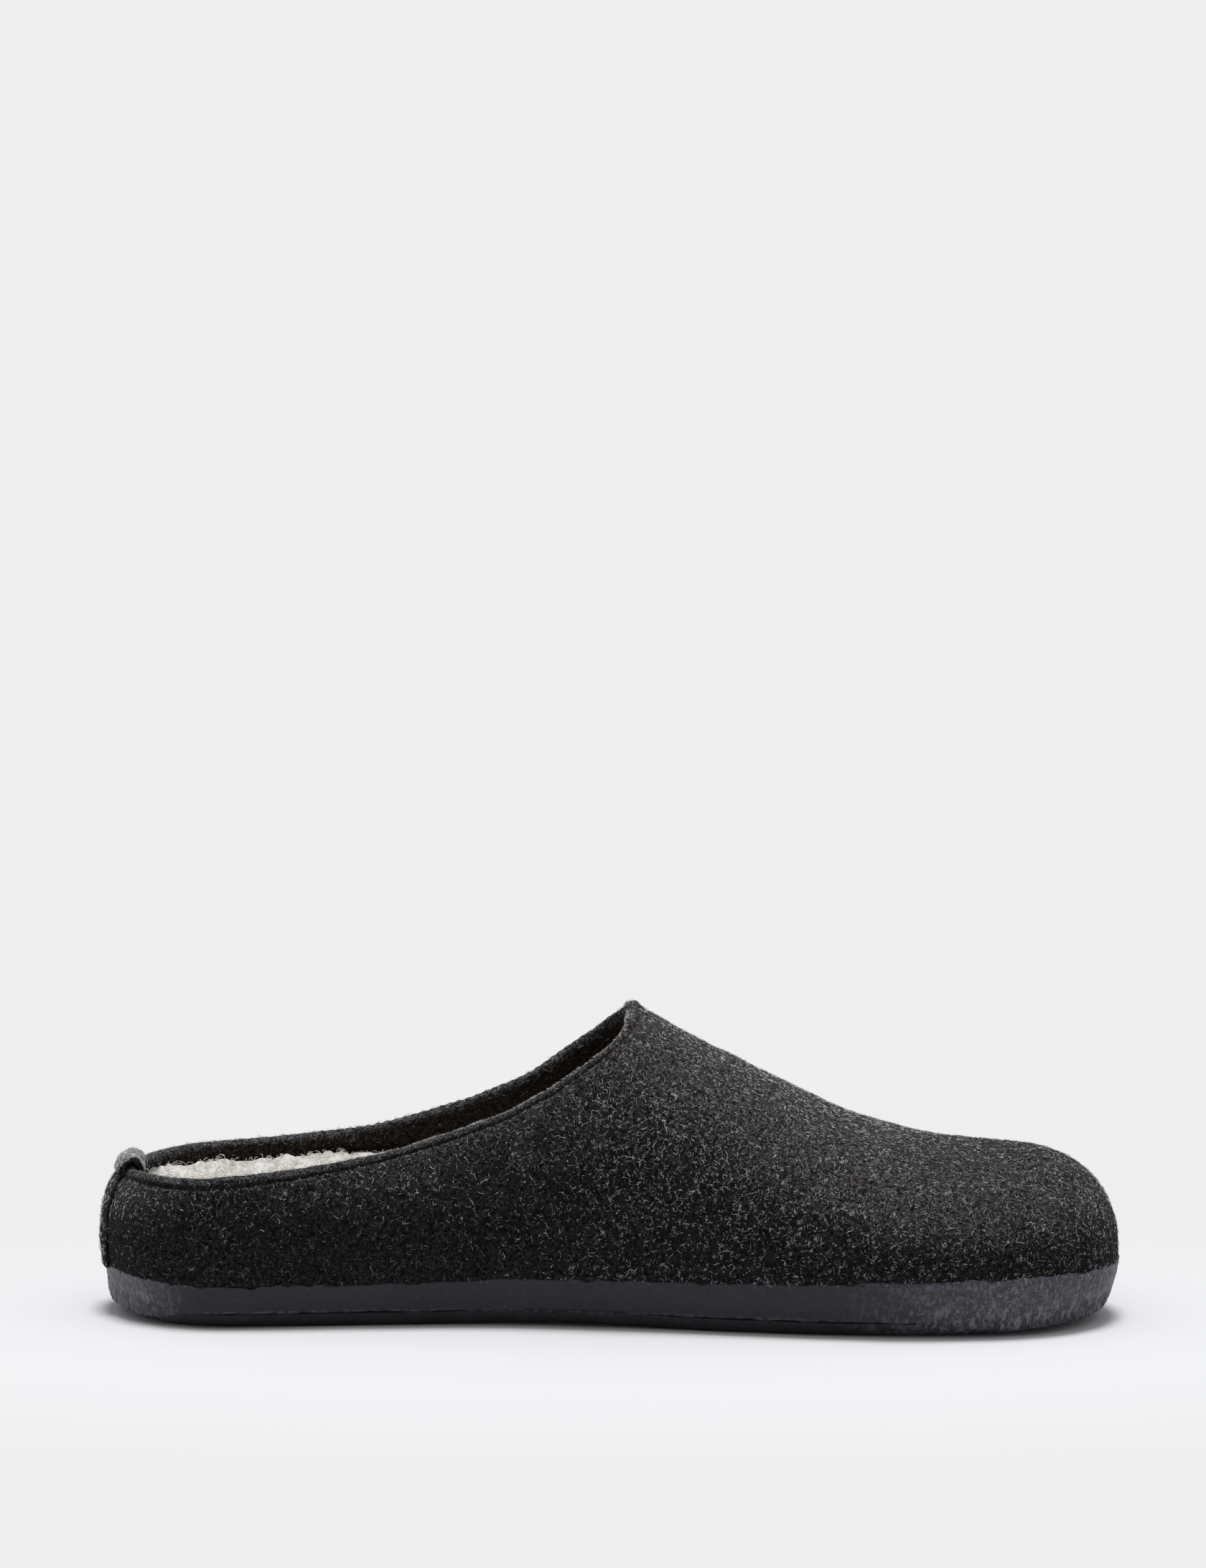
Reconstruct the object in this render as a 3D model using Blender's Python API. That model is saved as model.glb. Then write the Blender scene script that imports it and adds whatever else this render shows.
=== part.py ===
"""Felt clog slipper, left foot, at its real size.

The slipper is a thick felt upper with an open, rolled collar, a dipped rubber
rand with its floor, a flat rubber outsole, a deep fleece footbed and a felt
strip folded over the back seam.

Frame: +X to the toe, +Y to the outer (little toe) side, +Z up. The origin is
under the middle of the shoe, on the ground. Tables are in millimetres, and
"at" is the distance from the back of the heel.
"""
import math
from collections import namedtuple

import bmesh
import bpy
import numpy as np

MM = 0.001

# ------------------------------------------------------------ driving sizes
LENGTH = 285.4          # back of the heel strip to the toe
STRIP_PROUD = 1.2       # how far the heel strip stands off the felt
FELT = 3.6              # wall of the felt upper
RAND_WALL = 1.2         # wall of the dipped rubber rand
SEAT = 0.3              # gap between pieces that touch
FLOOR_LOW = 4.6         # underside of the rand's floor over the ground
FLOOR_TOP = 6.5         # upper side of the rand's floor
TREAD_TOP = 4.3         # upper side of the outsole
TREAD_INSET = 0.4       # the outsole is this much narrower than the rand
TUCK_POWER = 2.0        # how the side curves in towards the ground
HEEL_ROUND = 37.0       # radius of the heel in plan
TOE_START = 211.0       # where the toe begins to round, from the heel
TOE_POWER = 2.4
SPINE_BACK = 34.0       # the spine of the last stops this far short of the heel
SPINE_FRONT = 31.0      # and this far short of the toe
MIDDLE = -0.67          # sideways place of the last's axis, so Y is centred

OPEN_COLUMNS = 26       # columns from the heel to the throat, each side
VAMP_COLUMNS = 24       # columns from the throat to the toe, each side
WALL_ROWS = 9           # rows of the wall above its widest line

# plan of the last at its widest line: middle and half width, the height of
# that line, and how far the side draws in from it down to the ground
Plan = namedtuple("Plan", "at middle half widest tuck")
PLAN = [
    Plan(0, 0.0, 36.5, 23.0, 3.0), Plan(36, 0.5, 36.5, 23.0, 3.8),
    Plan(75, 3.0, 36.0, 22.8, 4.6), Plan(110, 5.0, 37.0, 22.4, 4.8),
    Plan(145, 5.0, 41.5, 21.8, 4.9), Plan(180, 3.5, 47.5, 21.0, 5.0),
    Plan(205, 1.8, 50.5, 20.4, 5.2), Plan(230, -1.0, 51.0, 19.9, 5.5),
    Plan(265, -7.0, 51.0, 19.2, 6.1), Plan(LENGTH, -10.0, 51.0, 19.0, 6.4),
]

# the closed form that the wall bends towards: its top, the squareness of the
# section, and the sideways place of its ridge
Crest = namedtuple("Crest", "at top square ridge")
CREST = [
    Crest(0, 50.8, 2.2, 0.0), Crest(8, 51.2, 2.2, 0.0),
    Crest(20, 62.0, 2.2, 0.2), Crest(32, 74.0, 2.2, 0.5),
    Crest(52, 67.0, 2.2, 1.5), Crest(73, 63.5, 2.2, 2.0),
    Crest(93, 67.5, 2.2, 2.0), Crest(113, 74.0, 2.3, 1.0),
    Crest(133, 85.2, 2.5, 0.0), Crest(143, 87.4, 2.6, -0.5),
    Crest(149.5, 86.4, 2.65, -1.0), Crest(153.5, 83.6, 2.6, -1.2),
    Crest(157.5, 81.5, 2.6, -1.4), Crest(165.6, 77.1, 2.55, -1.7),
    Crest(173.7, 72.8, 2.5, -2.0), Crest(181.8, 68.8, 2.45, -2.3),
    Crest(189.9, 64.7, 2.4, -2.6), Crest(197.9, 60.8, 2.35, -3.0),
    Crest(206, 57.1, 2.3, -3.6), Crest(214, 53.9, 2.25, -4.2),
    Crest(222, 51.5, 2.2, -4.8), Crest(230, 49.7, 2.2, -5.5),
    Crest(238, 48.6, 2.2, -6.2), Crest(246.4, 48.3, 2.25, -7.0),
    Crest(254, 48.2, 2.28, -7.6), Crest(LENGTH, 48.2, 2.3, -10.0),
]

# top of the rolled collar, seen from the side; the last row lies over the
# ridge of the vamp, so that the line crosses it
Rim = namedtuple("Rim", "at height")
RIM = [
    Rim(0, 41.2), Rim(12, 42.0), Rim(22, 42.3), Rim(32, 42.6),
    Rim(52.5, 44.6), Rim(72.7, 47.5), Rim(93, 52.6), Rim(113, 59.8),
    Rim(125, 66.3),
    Rim(133, 71.8), Rim(143.4, 79.6), Rim(147.4, 83.3), Rim(149.5, 86.5),
    Rim(151.0, 89.2),
]

# top edge of the dipped rand over the ground
Band = namedtuple("Band", "at height")
BAND = [
    Band(0, 14.3), Band(16, 13.0), Band(33, 12.1), Band(60, 12.2),
    Band(125, 13.8), Band(180, 14.7), Band(205, 15.3), Band(225, 16.3),
    Band(245, 17.0), Band(265, 17.0), Band(LENGTH, 16.7),
]

# the fleece footbed: height of its edge at the wall and of its middle
Bed = namedtuple("Bed", "at edge middle")
BED = [
    Bed(0, 33.8, 33.4), Bed(4, 33.9, 33.2), Bed(12, 37.0, 32.8),
    Bed(30, 37.4, 32.6), Bed(60, 38.2, 33.2), Bed(80, 39.6, 33.5),
    Bed(96, 38.6, 32.0), Bed(118, 33.5, 28.0), Bed(145, 27.0, 23.0),
    Bed(180, 21.8, 18.8), Bed(215, 19.5, 17.2), Bed(250, 18.8, 17.0),
    Bed(LENGTH, 18.5, 17.5),
]

# the ground line of the sole: lift over the ground
HEEL_LIFT = 3.0
HEEL_LIFT_FROM = 22.0
TOE_SPRING = 2.0
TOE_SPRING_FROM = 245.0
ARCH_LIFT = 0.7
ARCH_FROM, ARCH_TO = 85.0, 172.0
ARCH_TILT = 0.6         # the arch lifts more on the inner side

# rolled edge of the outsole: height over its ground line and how far it draws in
Edge = namedtuple("Edge", "height inset")
EDGE = [Edge(2.6, 0.4), Edge(1.2, 1.6), Edge(0.4, 3.6), Edge(0.0, 6.5)]

# heel strip
STRIP_HALF_LOW = 12.0
STRIP_HALF_TOP = 10.0
STRIP_THICK = 0.9
STRIP_FOLD_THICK = 1.5
STRIP_LOOP_HALF = 3.1   # half width of the fold, to the middle of the felt
STRIP_LOOP_TOP = 42.9   # height of the fold, to the middle of the felt
STRIP_INNER_END = 34.7


# ------------------------------------------------------------ plain numbers
def smooth(rows, column, at):
    """Smooth curve without overshoot through one column of a table."""
    x = np.array([r.at for r in rows], float)
    y = np.array([getattr(r, column) for r in rows], float)
    at = np.clip(np.asarray(at, float), x[0], x[-1])
    h = np.diff(x)
    d = np.diff(y) / h
    m = np.zeros_like(y)
    for i in range(1, len(x) - 1):
        if d[i - 1] * d[i] > 0:
            w1, w2 = 2 * h[i] + h[i - 1], h[i] + 2 * h[i - 1]
            m[i] = (w1 + w2) / (w1 / d[i - 1] + w2 / d[i])
    m[0], m[-1] = d[0], d[-1]
    k = np.clip(np.searchsorted(x, at, side="right") - 1, 0, len(h) - 1)
    t = (at - x[k]) / h[k]
    return ((1 + 2 * t) * (1 - t) ** 2 * y[k] + t * (1 - t) ** 2 * h[k] * m[k]
            + t * t * (3 - 2 * t) * y[k + 1] + t * t * (t - 1) * h[k] * m[k + 1])


def ground(at, y=0.0):
    """Lift of the sole's ground line over the floor."""
    at = np.asarray(at, float)
    back = np.clip((HEEL_LIFT_FROM - at) / HEEL_LIFT_FROM, 0, 1) ** 2
    front = np.clip((at - TOE_SPRING_FROM) / (LENGTH - TOE_SPRING_FROM), 0, 1) ** 2
    span = np.clip((at - ARCH_FROM) / (ARCH_TO - ARCH_FROM), 0, 1)
    arch = np.sin(math.pi * span) ** 2
    side = 1.0 - ARCH_TILT * np.asarray(y, float) / 40.0
    return HEEL_LIFT * back + TOE_SPRING * front + ARCH_LIFT * arch * side


# ------------------------------------------------------------ form of the last
START = STRIP_PROUD
REACH = LENGTH - START


def station(a):
    """Distance from the heel of the outline point at angle a (0 heel, pi toe)."""
    return START + REACH * 0.5 * (1 - np.cos(a))


def side_line(at, side):
    """Sideways place of the outline."""
    middle = smooth(PLAN, "middle", at) + MIDDLE
    half = smooth(PLAN, "half", at)
    back = np.clip((START + HEEL_ROUND - at) / HEEL_ROUND, 0, 1)
    front = np.clip((at - TOE_START) / (LENGTH - TOE_START), 0, 1)
    round_off = np.sqrt(np.clip(1 - back ** 2, 0, 1)) * np.sqrt(np.clip(1 - front ** TOE_POWER, 0, 1))
    return middle + side * half * round_off


def plan_point(a, side):
    at = float(station(a))
    return np.array([at - LENGTH / 2, float(side_line(at, side))])


def plan_normal(a, side):
    """Outward direction of the outline in plan."""
    step = 0.01
    low, high = a - step, a + step
    p = plan_point(abs(low), side if low >= 0 else -side)
    q = plan_point(high if high <= math.pi else 2 * math.pi - high,
                   side if high <= math.pi else -side)
    t = (q - p) / np.linalg.norm(q - p)
    return np.array([-t[1], t[0]]) * side


def spine_point(a):
    at = float(station(a))
    back = np.clip((130.0 - at) / (130.0 - START), 0, 1) ** 1.4
    front = np.clip((at - 170.0) / (LENGTH - 170.0), 0, 1) ** 1.8
    at = at + SPINE_BACK * back - SPINE_FRONT * front
    return np.array([at - LENGTH / 2, float(smooth(CREST, "ridge", at)) + MIDDLE])


def widest(a):
    """Height of the widest line of the last."""
    return float(smooth(PLAN, "widest", station(a)))


def flank(a, side, z, inset=0.0):
    """Point of the side below the widest line, at height z."""
    low = np.clip((widest(a) - z) / widest(a), 0, 1)
    tuck = float(smooth(PLAN, "tuck", station(a))) * low ** TUCK_POWER
    p = plan_point(a, side) - plan_normal(a, side) * (tuck + inset)
    return np.array([p[0], p[1], z])


def crown(a, side, angle):
    """Point of the wall above the widest line; angle 0 there, 90 degrees at the ridge."""
    p, s = plan_point(a, side), spine_point(a)
    out = math.cos(min(angle, math.pi / 2))
    square = float(smooth(CREST, "square", station(a)))
    c = max(out, 0.0) ** (2.0 / square)
    x, y = s + (p - s) * c
    top = float(smooth(CREST, "top", x + LENGTH / 2))
    z = widest(a) + (top - widest(a)) * math.sin(angle) ** (2.0 / square)
    return np.array([x, y, z])


def cut_line():
    """Edge of the wall under the rolled collar: the collar's top, moved in by its radius."""
    at = np.array([r.at for r in RIM])
    grid = np.linspace(at[0], at[-1], 160)
    high = smooth(RIM, "height", grid)
    slope = np.gradient(high, grid)
    length = np.sqrt(1 + slope ** 2)
    r = FELT / 2
    return grid + r * slope / length, high - r / length


CUT_AT, CUT_HIGH = cut_line()


def cut_height(at):
    return float(np.interp(at, CUT_AT, CUT_HIGH))


def throat_angle():
    """Angle of the column where the collar meets the ridge of the vamp."""
    low, high = 1.2, 2.2
    for _ in range(50):
        mid = (low + high) / 2
        at = spine_point(mid)[0] + LENGTH / 2
        if at < CUT_AT[-1] and cut_height(at) < float(smooth(CREST, "top", at)):
            low = mid
        else:
            high = mid
    return low


def rim_angle(a, side):
    """Angle in the section where the wall ends under the collar."""
    low, high = 0.0, math.pi / 2
    for _ in range(50):
        mid = (low + high) / 2
        p = crown(a, side, mid)
        if p[2] < cut_height(p[0] + LENGTH / 2):
            low = mid
        else:
            high = mid
    return low


Column = namedtuple("Column", "a side open")


def even_angles(throat, count):
    """Angles from the heel to the throat, even along the collar and the outline together."""
    fine = [throat * (1 - (1 - i / 300) ** 2.8) for i in range(301)]
    rim = np.array([crown(a, 1, rim_angle(a, 1)) for a in fine])
    foot = np.array([plan_point(a, 1) for a in fine])
    run = np.cumsum(np.r_[0, np.linalg.norm(np.diff(rim, axis=0), axis=1)
                          + 0.4 * np.linalg.norm(np.diff(foot, axis=0), axis=1)])
    return [float(np.interp(run[-1] * i / count, run, fine)) for i in range(count + 1)]


def columns():
    """Columns round the shoe: heel, outer side, toe, inner side."""
    throat = throat_angle()
    angles = [(a, i < OPEN_COLUMNS) for i, a in enumerate(even_angles(throat, OPEN_COLUMNS))]
    angles += [(throat + (math.pi - throat) * (i / VAMP_COLUMNS) ** 1.25, False)
               for i in range(1, VAMP_COLUMNS + 1)]
    ring = [Column(a, +1, is_open) for a, is_open in angles]
    ring += [Column(a, -1, is_open) for a, is_open in reversed(angles[1:-1])]
    return ring


# ------------------------------------------------------------ sheets
def skin_rows(ring):
    """Outer face of the felt, one row after another from the rand's floor to the collar."""
    rows = []
    at = [float(station(c.a)) for c in ring]
    ledge = [float(smooth(BAND, "height", s)) + SEAT for s in at]
    rows.append(sole_ring(ring, FLOOR_TOP + SEAT, 0.0))
    rows.append([flank(c.a, c.side, z) for c, z in zip(ring, ledge)])
    rows.append([flank(c.a, c.side, (z + widest(c.a)) / 2) for c, z in zip(ring, ledge)])
    rows.append([flank(c.a, c.side, widest(c.a)) for c in ring])
    ends = [rim_angle(c.a, c.side) if c.open else math.pi / 2 for c in ring]
    for j in range(1, WALL_ROWS + 1):
        rows.append([crown(c.a, c.side, e * j / WALL_ROWS) for c, e in zip(ring, ends)])
    return np.array(rows)


def sheet_normals(rows, ring):
    """Outward normals of the sheet, welded along the ridge of the vamp."""
    nr, nc = rows.shape[:2]
    normal = np.zeros_like(rows)
    for r in range(nr - 1):
        for c in range(nc):
            d = (c + 1) % nc
            quad = rows[r, c], rows[r, d], rows[r + 1, d], rows[r + 1, c]
            n = np.cross(quad[2] - quad[0], quad[3] - quad[1])
            for rr, cc in ((r, c), (r, d), (r + 1, d), (r + 1, c)):
                normal[rr, cc] += n
    for c in range(1, nc // 2):
        if not ring[c].open:
            both = normal[-1, c] + normal[-1, nc - c]
            normal[-1, c] = normal[-1, nc - c] = both
    normal /= np.linalg.norm(normal, axis=2, keepdims=True)
    centre = rows.mean(axis=(0, 1))
    if np.sum(normal[3] * (rows[3] - centre)) < 0:
        normal = -normal
    return normal


def over_ground(p, height):
    """The point moved up or down to stand this high over the sole's ground line."""
    return np.array([p[0], p[1], height + float(ground(p[0] + LENGTH / 2, p[1]))])


def sole_ring(ring, height, inset):
    """Ring round the foot of the last, at one height over the sole's ground line."""
    return [over_ground(flank(c.a, c.side, height + float(ground(station(c.a))), inset), height)
            for c in ring]


class Solid:
    """Collects points and faces in millimetres and makes one closed object."""

    def __init__(self):
        self.points, self.faces = [], []

    def ring(self, pts):
        first = len(self.points)
        self.points += [tuple(p) for p in pts]
        return list(range(first, first + len(pts)))

    def band(self, low, high, closed=True):
        n = len(low)
        for i in range(n if closed else n - 1):
            j = (i + 1) % n
            self.faces.append((low[i], low[j], high[j], high[i]))

    def plate(self, loop, height, across):
        """Fills a ring of columns with strips from side to side, shaped by height()."""
        n = len(loop)
        half = n // 2
        last = [loop[0]] * (across + 1)
        for i in range(1, half + 1):
            a, b = loop[i], loop[n - i] if i < half else loop[half]
            if i == half:
                row = [a] * (across + 1)
            else:
                pa, pb = np.array(self.points[a]), np.array(self.points[b])
                row = [a]
                for k in range(1, across):
                    p = pa + (pb - pa) * k / across
                    p[2] = height(p, k / across)
                    row.append(len(self.points))
                    self.points.append(tuple(p))
                row.append(b)
            for k in range(across):
                face = []
                for v in (last[k], row[k], row[k + 1], last[k + 1]):
                    if v not in face:
                        face.append(v)
                if len(face) > 2:
                    self.faces.append(tuple(face))
            last = row

    def build(self, name, colour, roughness, sharp=40.0):
        mesh = bpy.data.meshes.new(name)
        bm = bmesh.new()
        verts = [bm.verts.new((p[0] * MM, p[1] * MM, p[2] * MM)) for p in self.points]
        for f in self.faces:
            bm.faces.new([verts[i] for i in f])
        bmesh.ops.remove_doubles(bm, verts=bm.verts, dist=0.000002)
        bmesh.ops.triangulate(bm, faces=bm.faces)
        bmesh.ops.recalc_face_normals(bm, faces=bm.faces)
        if bm.calc_volume(signed=True) < 0:
            bmesh.ops.reverse_faces(bm, faces=bm.faces)
        bm.to_mesh(mesh)
        bm.free()
        mesh.shade_smooth()
        mesh.set_sharp_from_angle(angle=math.radians(sharp))
        obj = bpy.data.objects.new(name, mesh)
        bpy.context.collection.objects.link(obj)
        material = bpy.data.materials.new(name + "_material")
        material.use_nodes = True
        shader = material.node_tree.nodes["Principled BSDF"]
        shader.inputs["Base Color"].default_value = (*colour, 1.0)
        shader.inputs["Roughness"].default_value = roughness
        shader.inputs["Metallic"].default_value = 0.0
        mesh.materials.append(material)
        return obj


# ------------------------------------------------------------ pieces
def upper(ring, rows, normal):
    """Felt upper: one wall, open at the collar and under the foot, stepped in behind the rand."""
    s = Solid()
    step = RAND_WALL + SEAT
    plan = [plan_normal(c.a, c.side) for c in ring]
    tucked = [[p - np.array([n[0], n[1], 0]) * step for p, n in zip(row, plan)] for row in rows[:2]]
    outer = [s.ring(tucked[0]), s.ring(tucked[1])] + [s.ring(row) for row in rows[1:]]
    inner = [s.ring(row - n * FELT) for row, n in zip(rows, normal)]
    for sheet in (outer, inner):
        for low, high in zip(sheet, sheet[1:]):
            s.band(low, high)
    s.band(inner[0], outer[0])

    # rolled collar between the two faces
    nc = len(ring)
    loop = list(range(0, OPEN_COLUMNS + 1)) + list(range(nc - OPEN_COLUMNS + 1, nc))
    edge = rows[-1][loop]
    out = normal[-1][loop]
    tangent = np.roll(edge, -1, axis=0) - np.roll(edge, 1, axis=0)
    up = np.cross(out, tangent)
    up /= np.linalg.norm(up, axis=1, keepdims=True)
    if up[:, 2].mean() < 0:
        up = -up
    middle = edge - out * FELT / 2
    last = [outer[-1][c] for c in loop]
    for turn in (45, 90, 135):
        w = math.radians(turn)
        arc = middle + (out * math.cos(w) + up * math.sin(w)) * FELT / 2
        row = s.ring(arc)
        s.band(last, row)
        last = row
    s.band(last, [inner[-1][c] for c in loop])
    return s.build("upper", (0.022, 0.022, 0.023), 0.95, 60)


def rand(ring):
    """Dipped rubber rand: a thin wall round the foot of the felt, with a floor under it."""
    s = Solid()
    top = [float(smooth(BAND, "height", station(c.a))) for c in ring]
    mid = [(FLOOR_TOP + z) / 2 + 0.5 * float(ground(station(c.a))) for c, z in zip(ring, top)]

    def loop(heights, inset):
        return s.ring([flank(c.a, c.side, z, inset) for c, z in zip(ring, heights)])

    rings = [s.ring(sole_ring(ring, FLOOR_LOW, 0)), s.ring(sole_ring(ring, FLOOR_TOP, 0)),
             loop(mid, 0), loop(top, 0), loop(top, RAND_WALL), loop(mid, RAND_WALL),
             s.ring(sole_ring(ring, FLOOR_TOP, RAND_WALL))]
    for a, b in zip(rings, rings[1:]):
        s.band(a, b)
    s.plate(rings[-1], lambda p, k: over_ground(p, FLOOR_TOP)[2], 4)
    s.plate(rings[0], lambda p, k: over_ground(p, FLOOR_LOW)[2], 4)
    return s.build("rand", (0.028, 0.028, 0.034), 0.6)


def outsole(ring):
    """Rubber outsole with a rolled lower edge, flat under the heel and the ball."""
    s = Solid()
    rings = [s.ring(sole_ring(ring, TREAD_TOP, TREAD_INSET))]
    rings += [s.ring(sole_ring(ring, e.height, TREAD_INSET + e.inset)) for e in EDGE]
    for a, b in zip(rings, rings[1:]):
        s.band(a, b)
    s.plate(rings[0], lambda p, k: over_ground(p, TREAD_TOP)[2], 4)
    s.plate(rings[-1], lambda p, k: over_ground(p, 0.0)[2], 4)
    return s.build("outsole", (0.016, 0.016, 0.018), 0.7, 30)


def insole(ring, rows, normal):
    """Deep fleece footbed, dished along its middle, filling the foot of the upper."""
    s = Solid()
    inner = rows - normal * (FELT + SEAT + 0.05)
    at = [float(station(c.a)) for c in ring]
    edge = smooth(BED, "edge", at)
    loops = []
    for part in (0.0, 0.34, 0.67, 0.93, 1.0):
        pts = []
        for c in range(len(ring)):
            line = inner[:, c]
            stop = np.argmax(line[:, 2]) + 1
            low = line[0, 2]
            z = low + (edge[c] - low) * part
            p = np.array([np.interp(z, line[:stop, 2], line[:stop, 0]),
                          np.interp(z, line[:stop, 2], line[:stop, 1]), z])
            if part == 0.0:
                p = over_ground(p, FLOOR_TOP + SEAT)
            if part == 1.0:
                n = plan_normal(ring[c].a, ring[c].side)
                p[:2] -= n * 1.6
            pts.append(p)
        loops.append(s.ring(pts))
    for a, b in zip(loops, loops[1:]):
        s.band(a, b)

    def top(p, k):
        u = p[0] + LENGTH / 2
        share = min(1.0, (1 - abs(2 * k - 1)) * 1.6)
        return float(smooth(BED, "edge", u)) * (1 - share) + float(smooth(BED, "middle", u)) * share

    s.plate(loops[-1], top, 6)
    s.plate(loops[0], lambda p, k: over_ground(p, FLOOR_TOP + SEAT)[2], 4)
    return s.build("insole", (0.62, 0.58, 0.52), 1.0, 50)


def heel_strip():
    """Felt strip up the back seam and folded over the collar, with a small loop of slack."""
    s = Solid()
    across = 8
    columns_of_points = []
    for k in range(across + 1):
        share = 2 * k / across - 1
        side = 1 if share >= 0 else -1

        def angle_for(width):
            """Angle of the column whose outline lies this far from the middle."""
            low, high = 0.0, 0.8
            for _ in range(40):
                mid = (low + high) / 2
                if abs(plan_point(mid, side)[1] - plan_point(0.0, side)[1]) < width:
                    low = mid
                else:
                    high = mid
            return low

        band_top = float(smooth(BAND, "height", 2.0)) + 0.5
        inside, outside = [], []
        start = [(band_top, 0.0), (18.5, 0.1), (widest(0.0), 0.25)]
        for z, up in start:
            half = STRIP_HALF_LOW + (STRIP_HALF_TOP - STRIP_HALF_LOW) * up
            a = angle_for(abs(share) * half)
            n = plan_normal(a, side)
            p = flank(a, side, z)
            n3 = np.array([n[0], n[1], 0.0])
            inside.append(p + n3 * SEAT)
            outside.append(p + n3 * (SEAT + STRIP_THICK))
        for up in (0.35, 0.7, 1.0):
            half = STRIP_HALF_LOW + (STRIP_HALF_TOP - STRIP_HALF_LOW) * (0.25 + 0.75 * up)
            a = angle_for(abs(share) * half)
            end = rim_angle(a, side)
            p, q = crown(a, side, end * up), crown(a, side, end * up - 0.02)
            n = plan_normal(a, side)
            t = (p - q) / np.linalg.norm(p - q)
            n3 = np.array([n[0], n[1], 0.0])
            n3 = n3 - t * np.dot(n3, t)
            n3 /= np.linalg.norm(n3)
            inside.append(p + n3 * SEAT)
            outside.append(p + n3 * (SEAT + STRIP_THICK))
        # fold over the collar: half an oval round the middle of the felt wall
        n2 = np.array([n[0], n[1], 0.0])
        centre = p - n3 * FELT / 2
        rise = STRIP_LOOP_TOP - centre[2]
        for turn in (25, 50, 72, 90, 108, 130, 155, 180):
            w = math.radians(turn)
            mid = centre + n2 * STRIP_LOOP_HALF * math.cos(w) + np.array([0, 0, 1.0]) * rise * math.sin(w)
            out = n2 * math.cos(w) / STRIP_LOOP_HALF + np.array([0, 0, 1.0]) * math.sin(w) / rise
            out /= np.linalg.norm(out)
            inside.append(mid - out * STRIP_FOLD_THICK / 2)
            outside.append(mid + out * STRIP_FOLD_THICK / 2)
        depth = centre[2] - STRIP_INNER_END
        mid = centre - n2 * (STRIP_LOOP_HALF + 0.35) - np.array([0, 0, depth])
        inside.append(mid + n2 * STRIP_FOLD_THICK / 2)
        outside.append(mid - n2 * STRIP_FOLD_THICK / 2)
        columns_of_points.append((inside, outside))
    rings = [s.ring(i + o[::-1]) for i, o in columns_of_points]
    for a, b in zip(rings, rings[1:]):
        s.band(a, b)
    n = len(columns_of_points[0][0])
    for r in (rings[0], rings[-1]):
        for i in range(n - 1):
            s.faces.append((r[i], r[i + 1], r[2 * n - 2 - i], r[2 * n - 1 - i]))
    return s.build("heel_strip", (0.03, 0.03, 0.032), 0.95, 50)


def main():
    for obj in list(bpy.data.objects):
        bpy.data.objects.remove(obj, do_unlink=True)
    ring = columns()
    rows = skin_rows(ring)
    normal = sheet_normals(rows, ring)
    upper(ring, rows, normal)
    rand(ring)
    outsole(ring)
    insole(ring, rows, normal)
    heel_strip()


if __name__ == "__main__":
    main()
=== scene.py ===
"""Looks of the felt clog slipper: felt skin with its hem and wool curls, dipped
rubber rand, outsole, fleece footbed and heel strip, built round the CAD frame.

Sizes in the tables are millimetres and repeat the last of the CAD model; "at"
is the distance from the back of the heel. +X is the toe, +Y the outer side.
"""
import math
from collections import namedtuple

import bmesh
import bpy
import numpy as np
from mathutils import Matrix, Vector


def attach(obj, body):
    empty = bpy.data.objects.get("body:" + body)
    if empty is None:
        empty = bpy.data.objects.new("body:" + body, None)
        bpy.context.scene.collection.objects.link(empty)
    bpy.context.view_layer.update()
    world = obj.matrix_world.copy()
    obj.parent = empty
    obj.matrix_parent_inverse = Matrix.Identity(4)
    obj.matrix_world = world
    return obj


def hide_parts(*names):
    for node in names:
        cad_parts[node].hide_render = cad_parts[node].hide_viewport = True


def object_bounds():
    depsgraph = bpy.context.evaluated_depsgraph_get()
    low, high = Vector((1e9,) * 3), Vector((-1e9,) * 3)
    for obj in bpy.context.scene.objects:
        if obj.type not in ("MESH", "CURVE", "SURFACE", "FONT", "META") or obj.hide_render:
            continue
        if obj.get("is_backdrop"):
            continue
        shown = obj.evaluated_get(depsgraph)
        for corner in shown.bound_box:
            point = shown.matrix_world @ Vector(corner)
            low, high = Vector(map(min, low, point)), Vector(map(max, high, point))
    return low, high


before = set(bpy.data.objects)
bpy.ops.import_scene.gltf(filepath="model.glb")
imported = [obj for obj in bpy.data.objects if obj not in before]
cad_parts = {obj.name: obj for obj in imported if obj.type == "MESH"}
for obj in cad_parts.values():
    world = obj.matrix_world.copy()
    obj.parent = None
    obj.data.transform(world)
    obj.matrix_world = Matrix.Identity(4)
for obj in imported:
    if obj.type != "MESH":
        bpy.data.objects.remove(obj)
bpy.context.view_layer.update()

MM = 0.001

# ------------------------------------------------------------ the last, in millimetres
LENGTH = 285.4
STRIP_PROUD = 1.2
FELT = 3.6
RAND_WALL = 1.2
SEAT = 0.3
FLOOR_LOW = 4.6
FLOOR_TOP = 6.5
TREAD_TOP = 4.3
TREAD_INSET = 0.4
TUCK_POWER = 2.0
HEEL_ROUND = 37.0
TOE_START = 211.0
TOE_POWER = 2.4
SPINE_BACK = 34.0
SPINE_FRONT = 31.0
MIDDLE = -0.67

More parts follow.
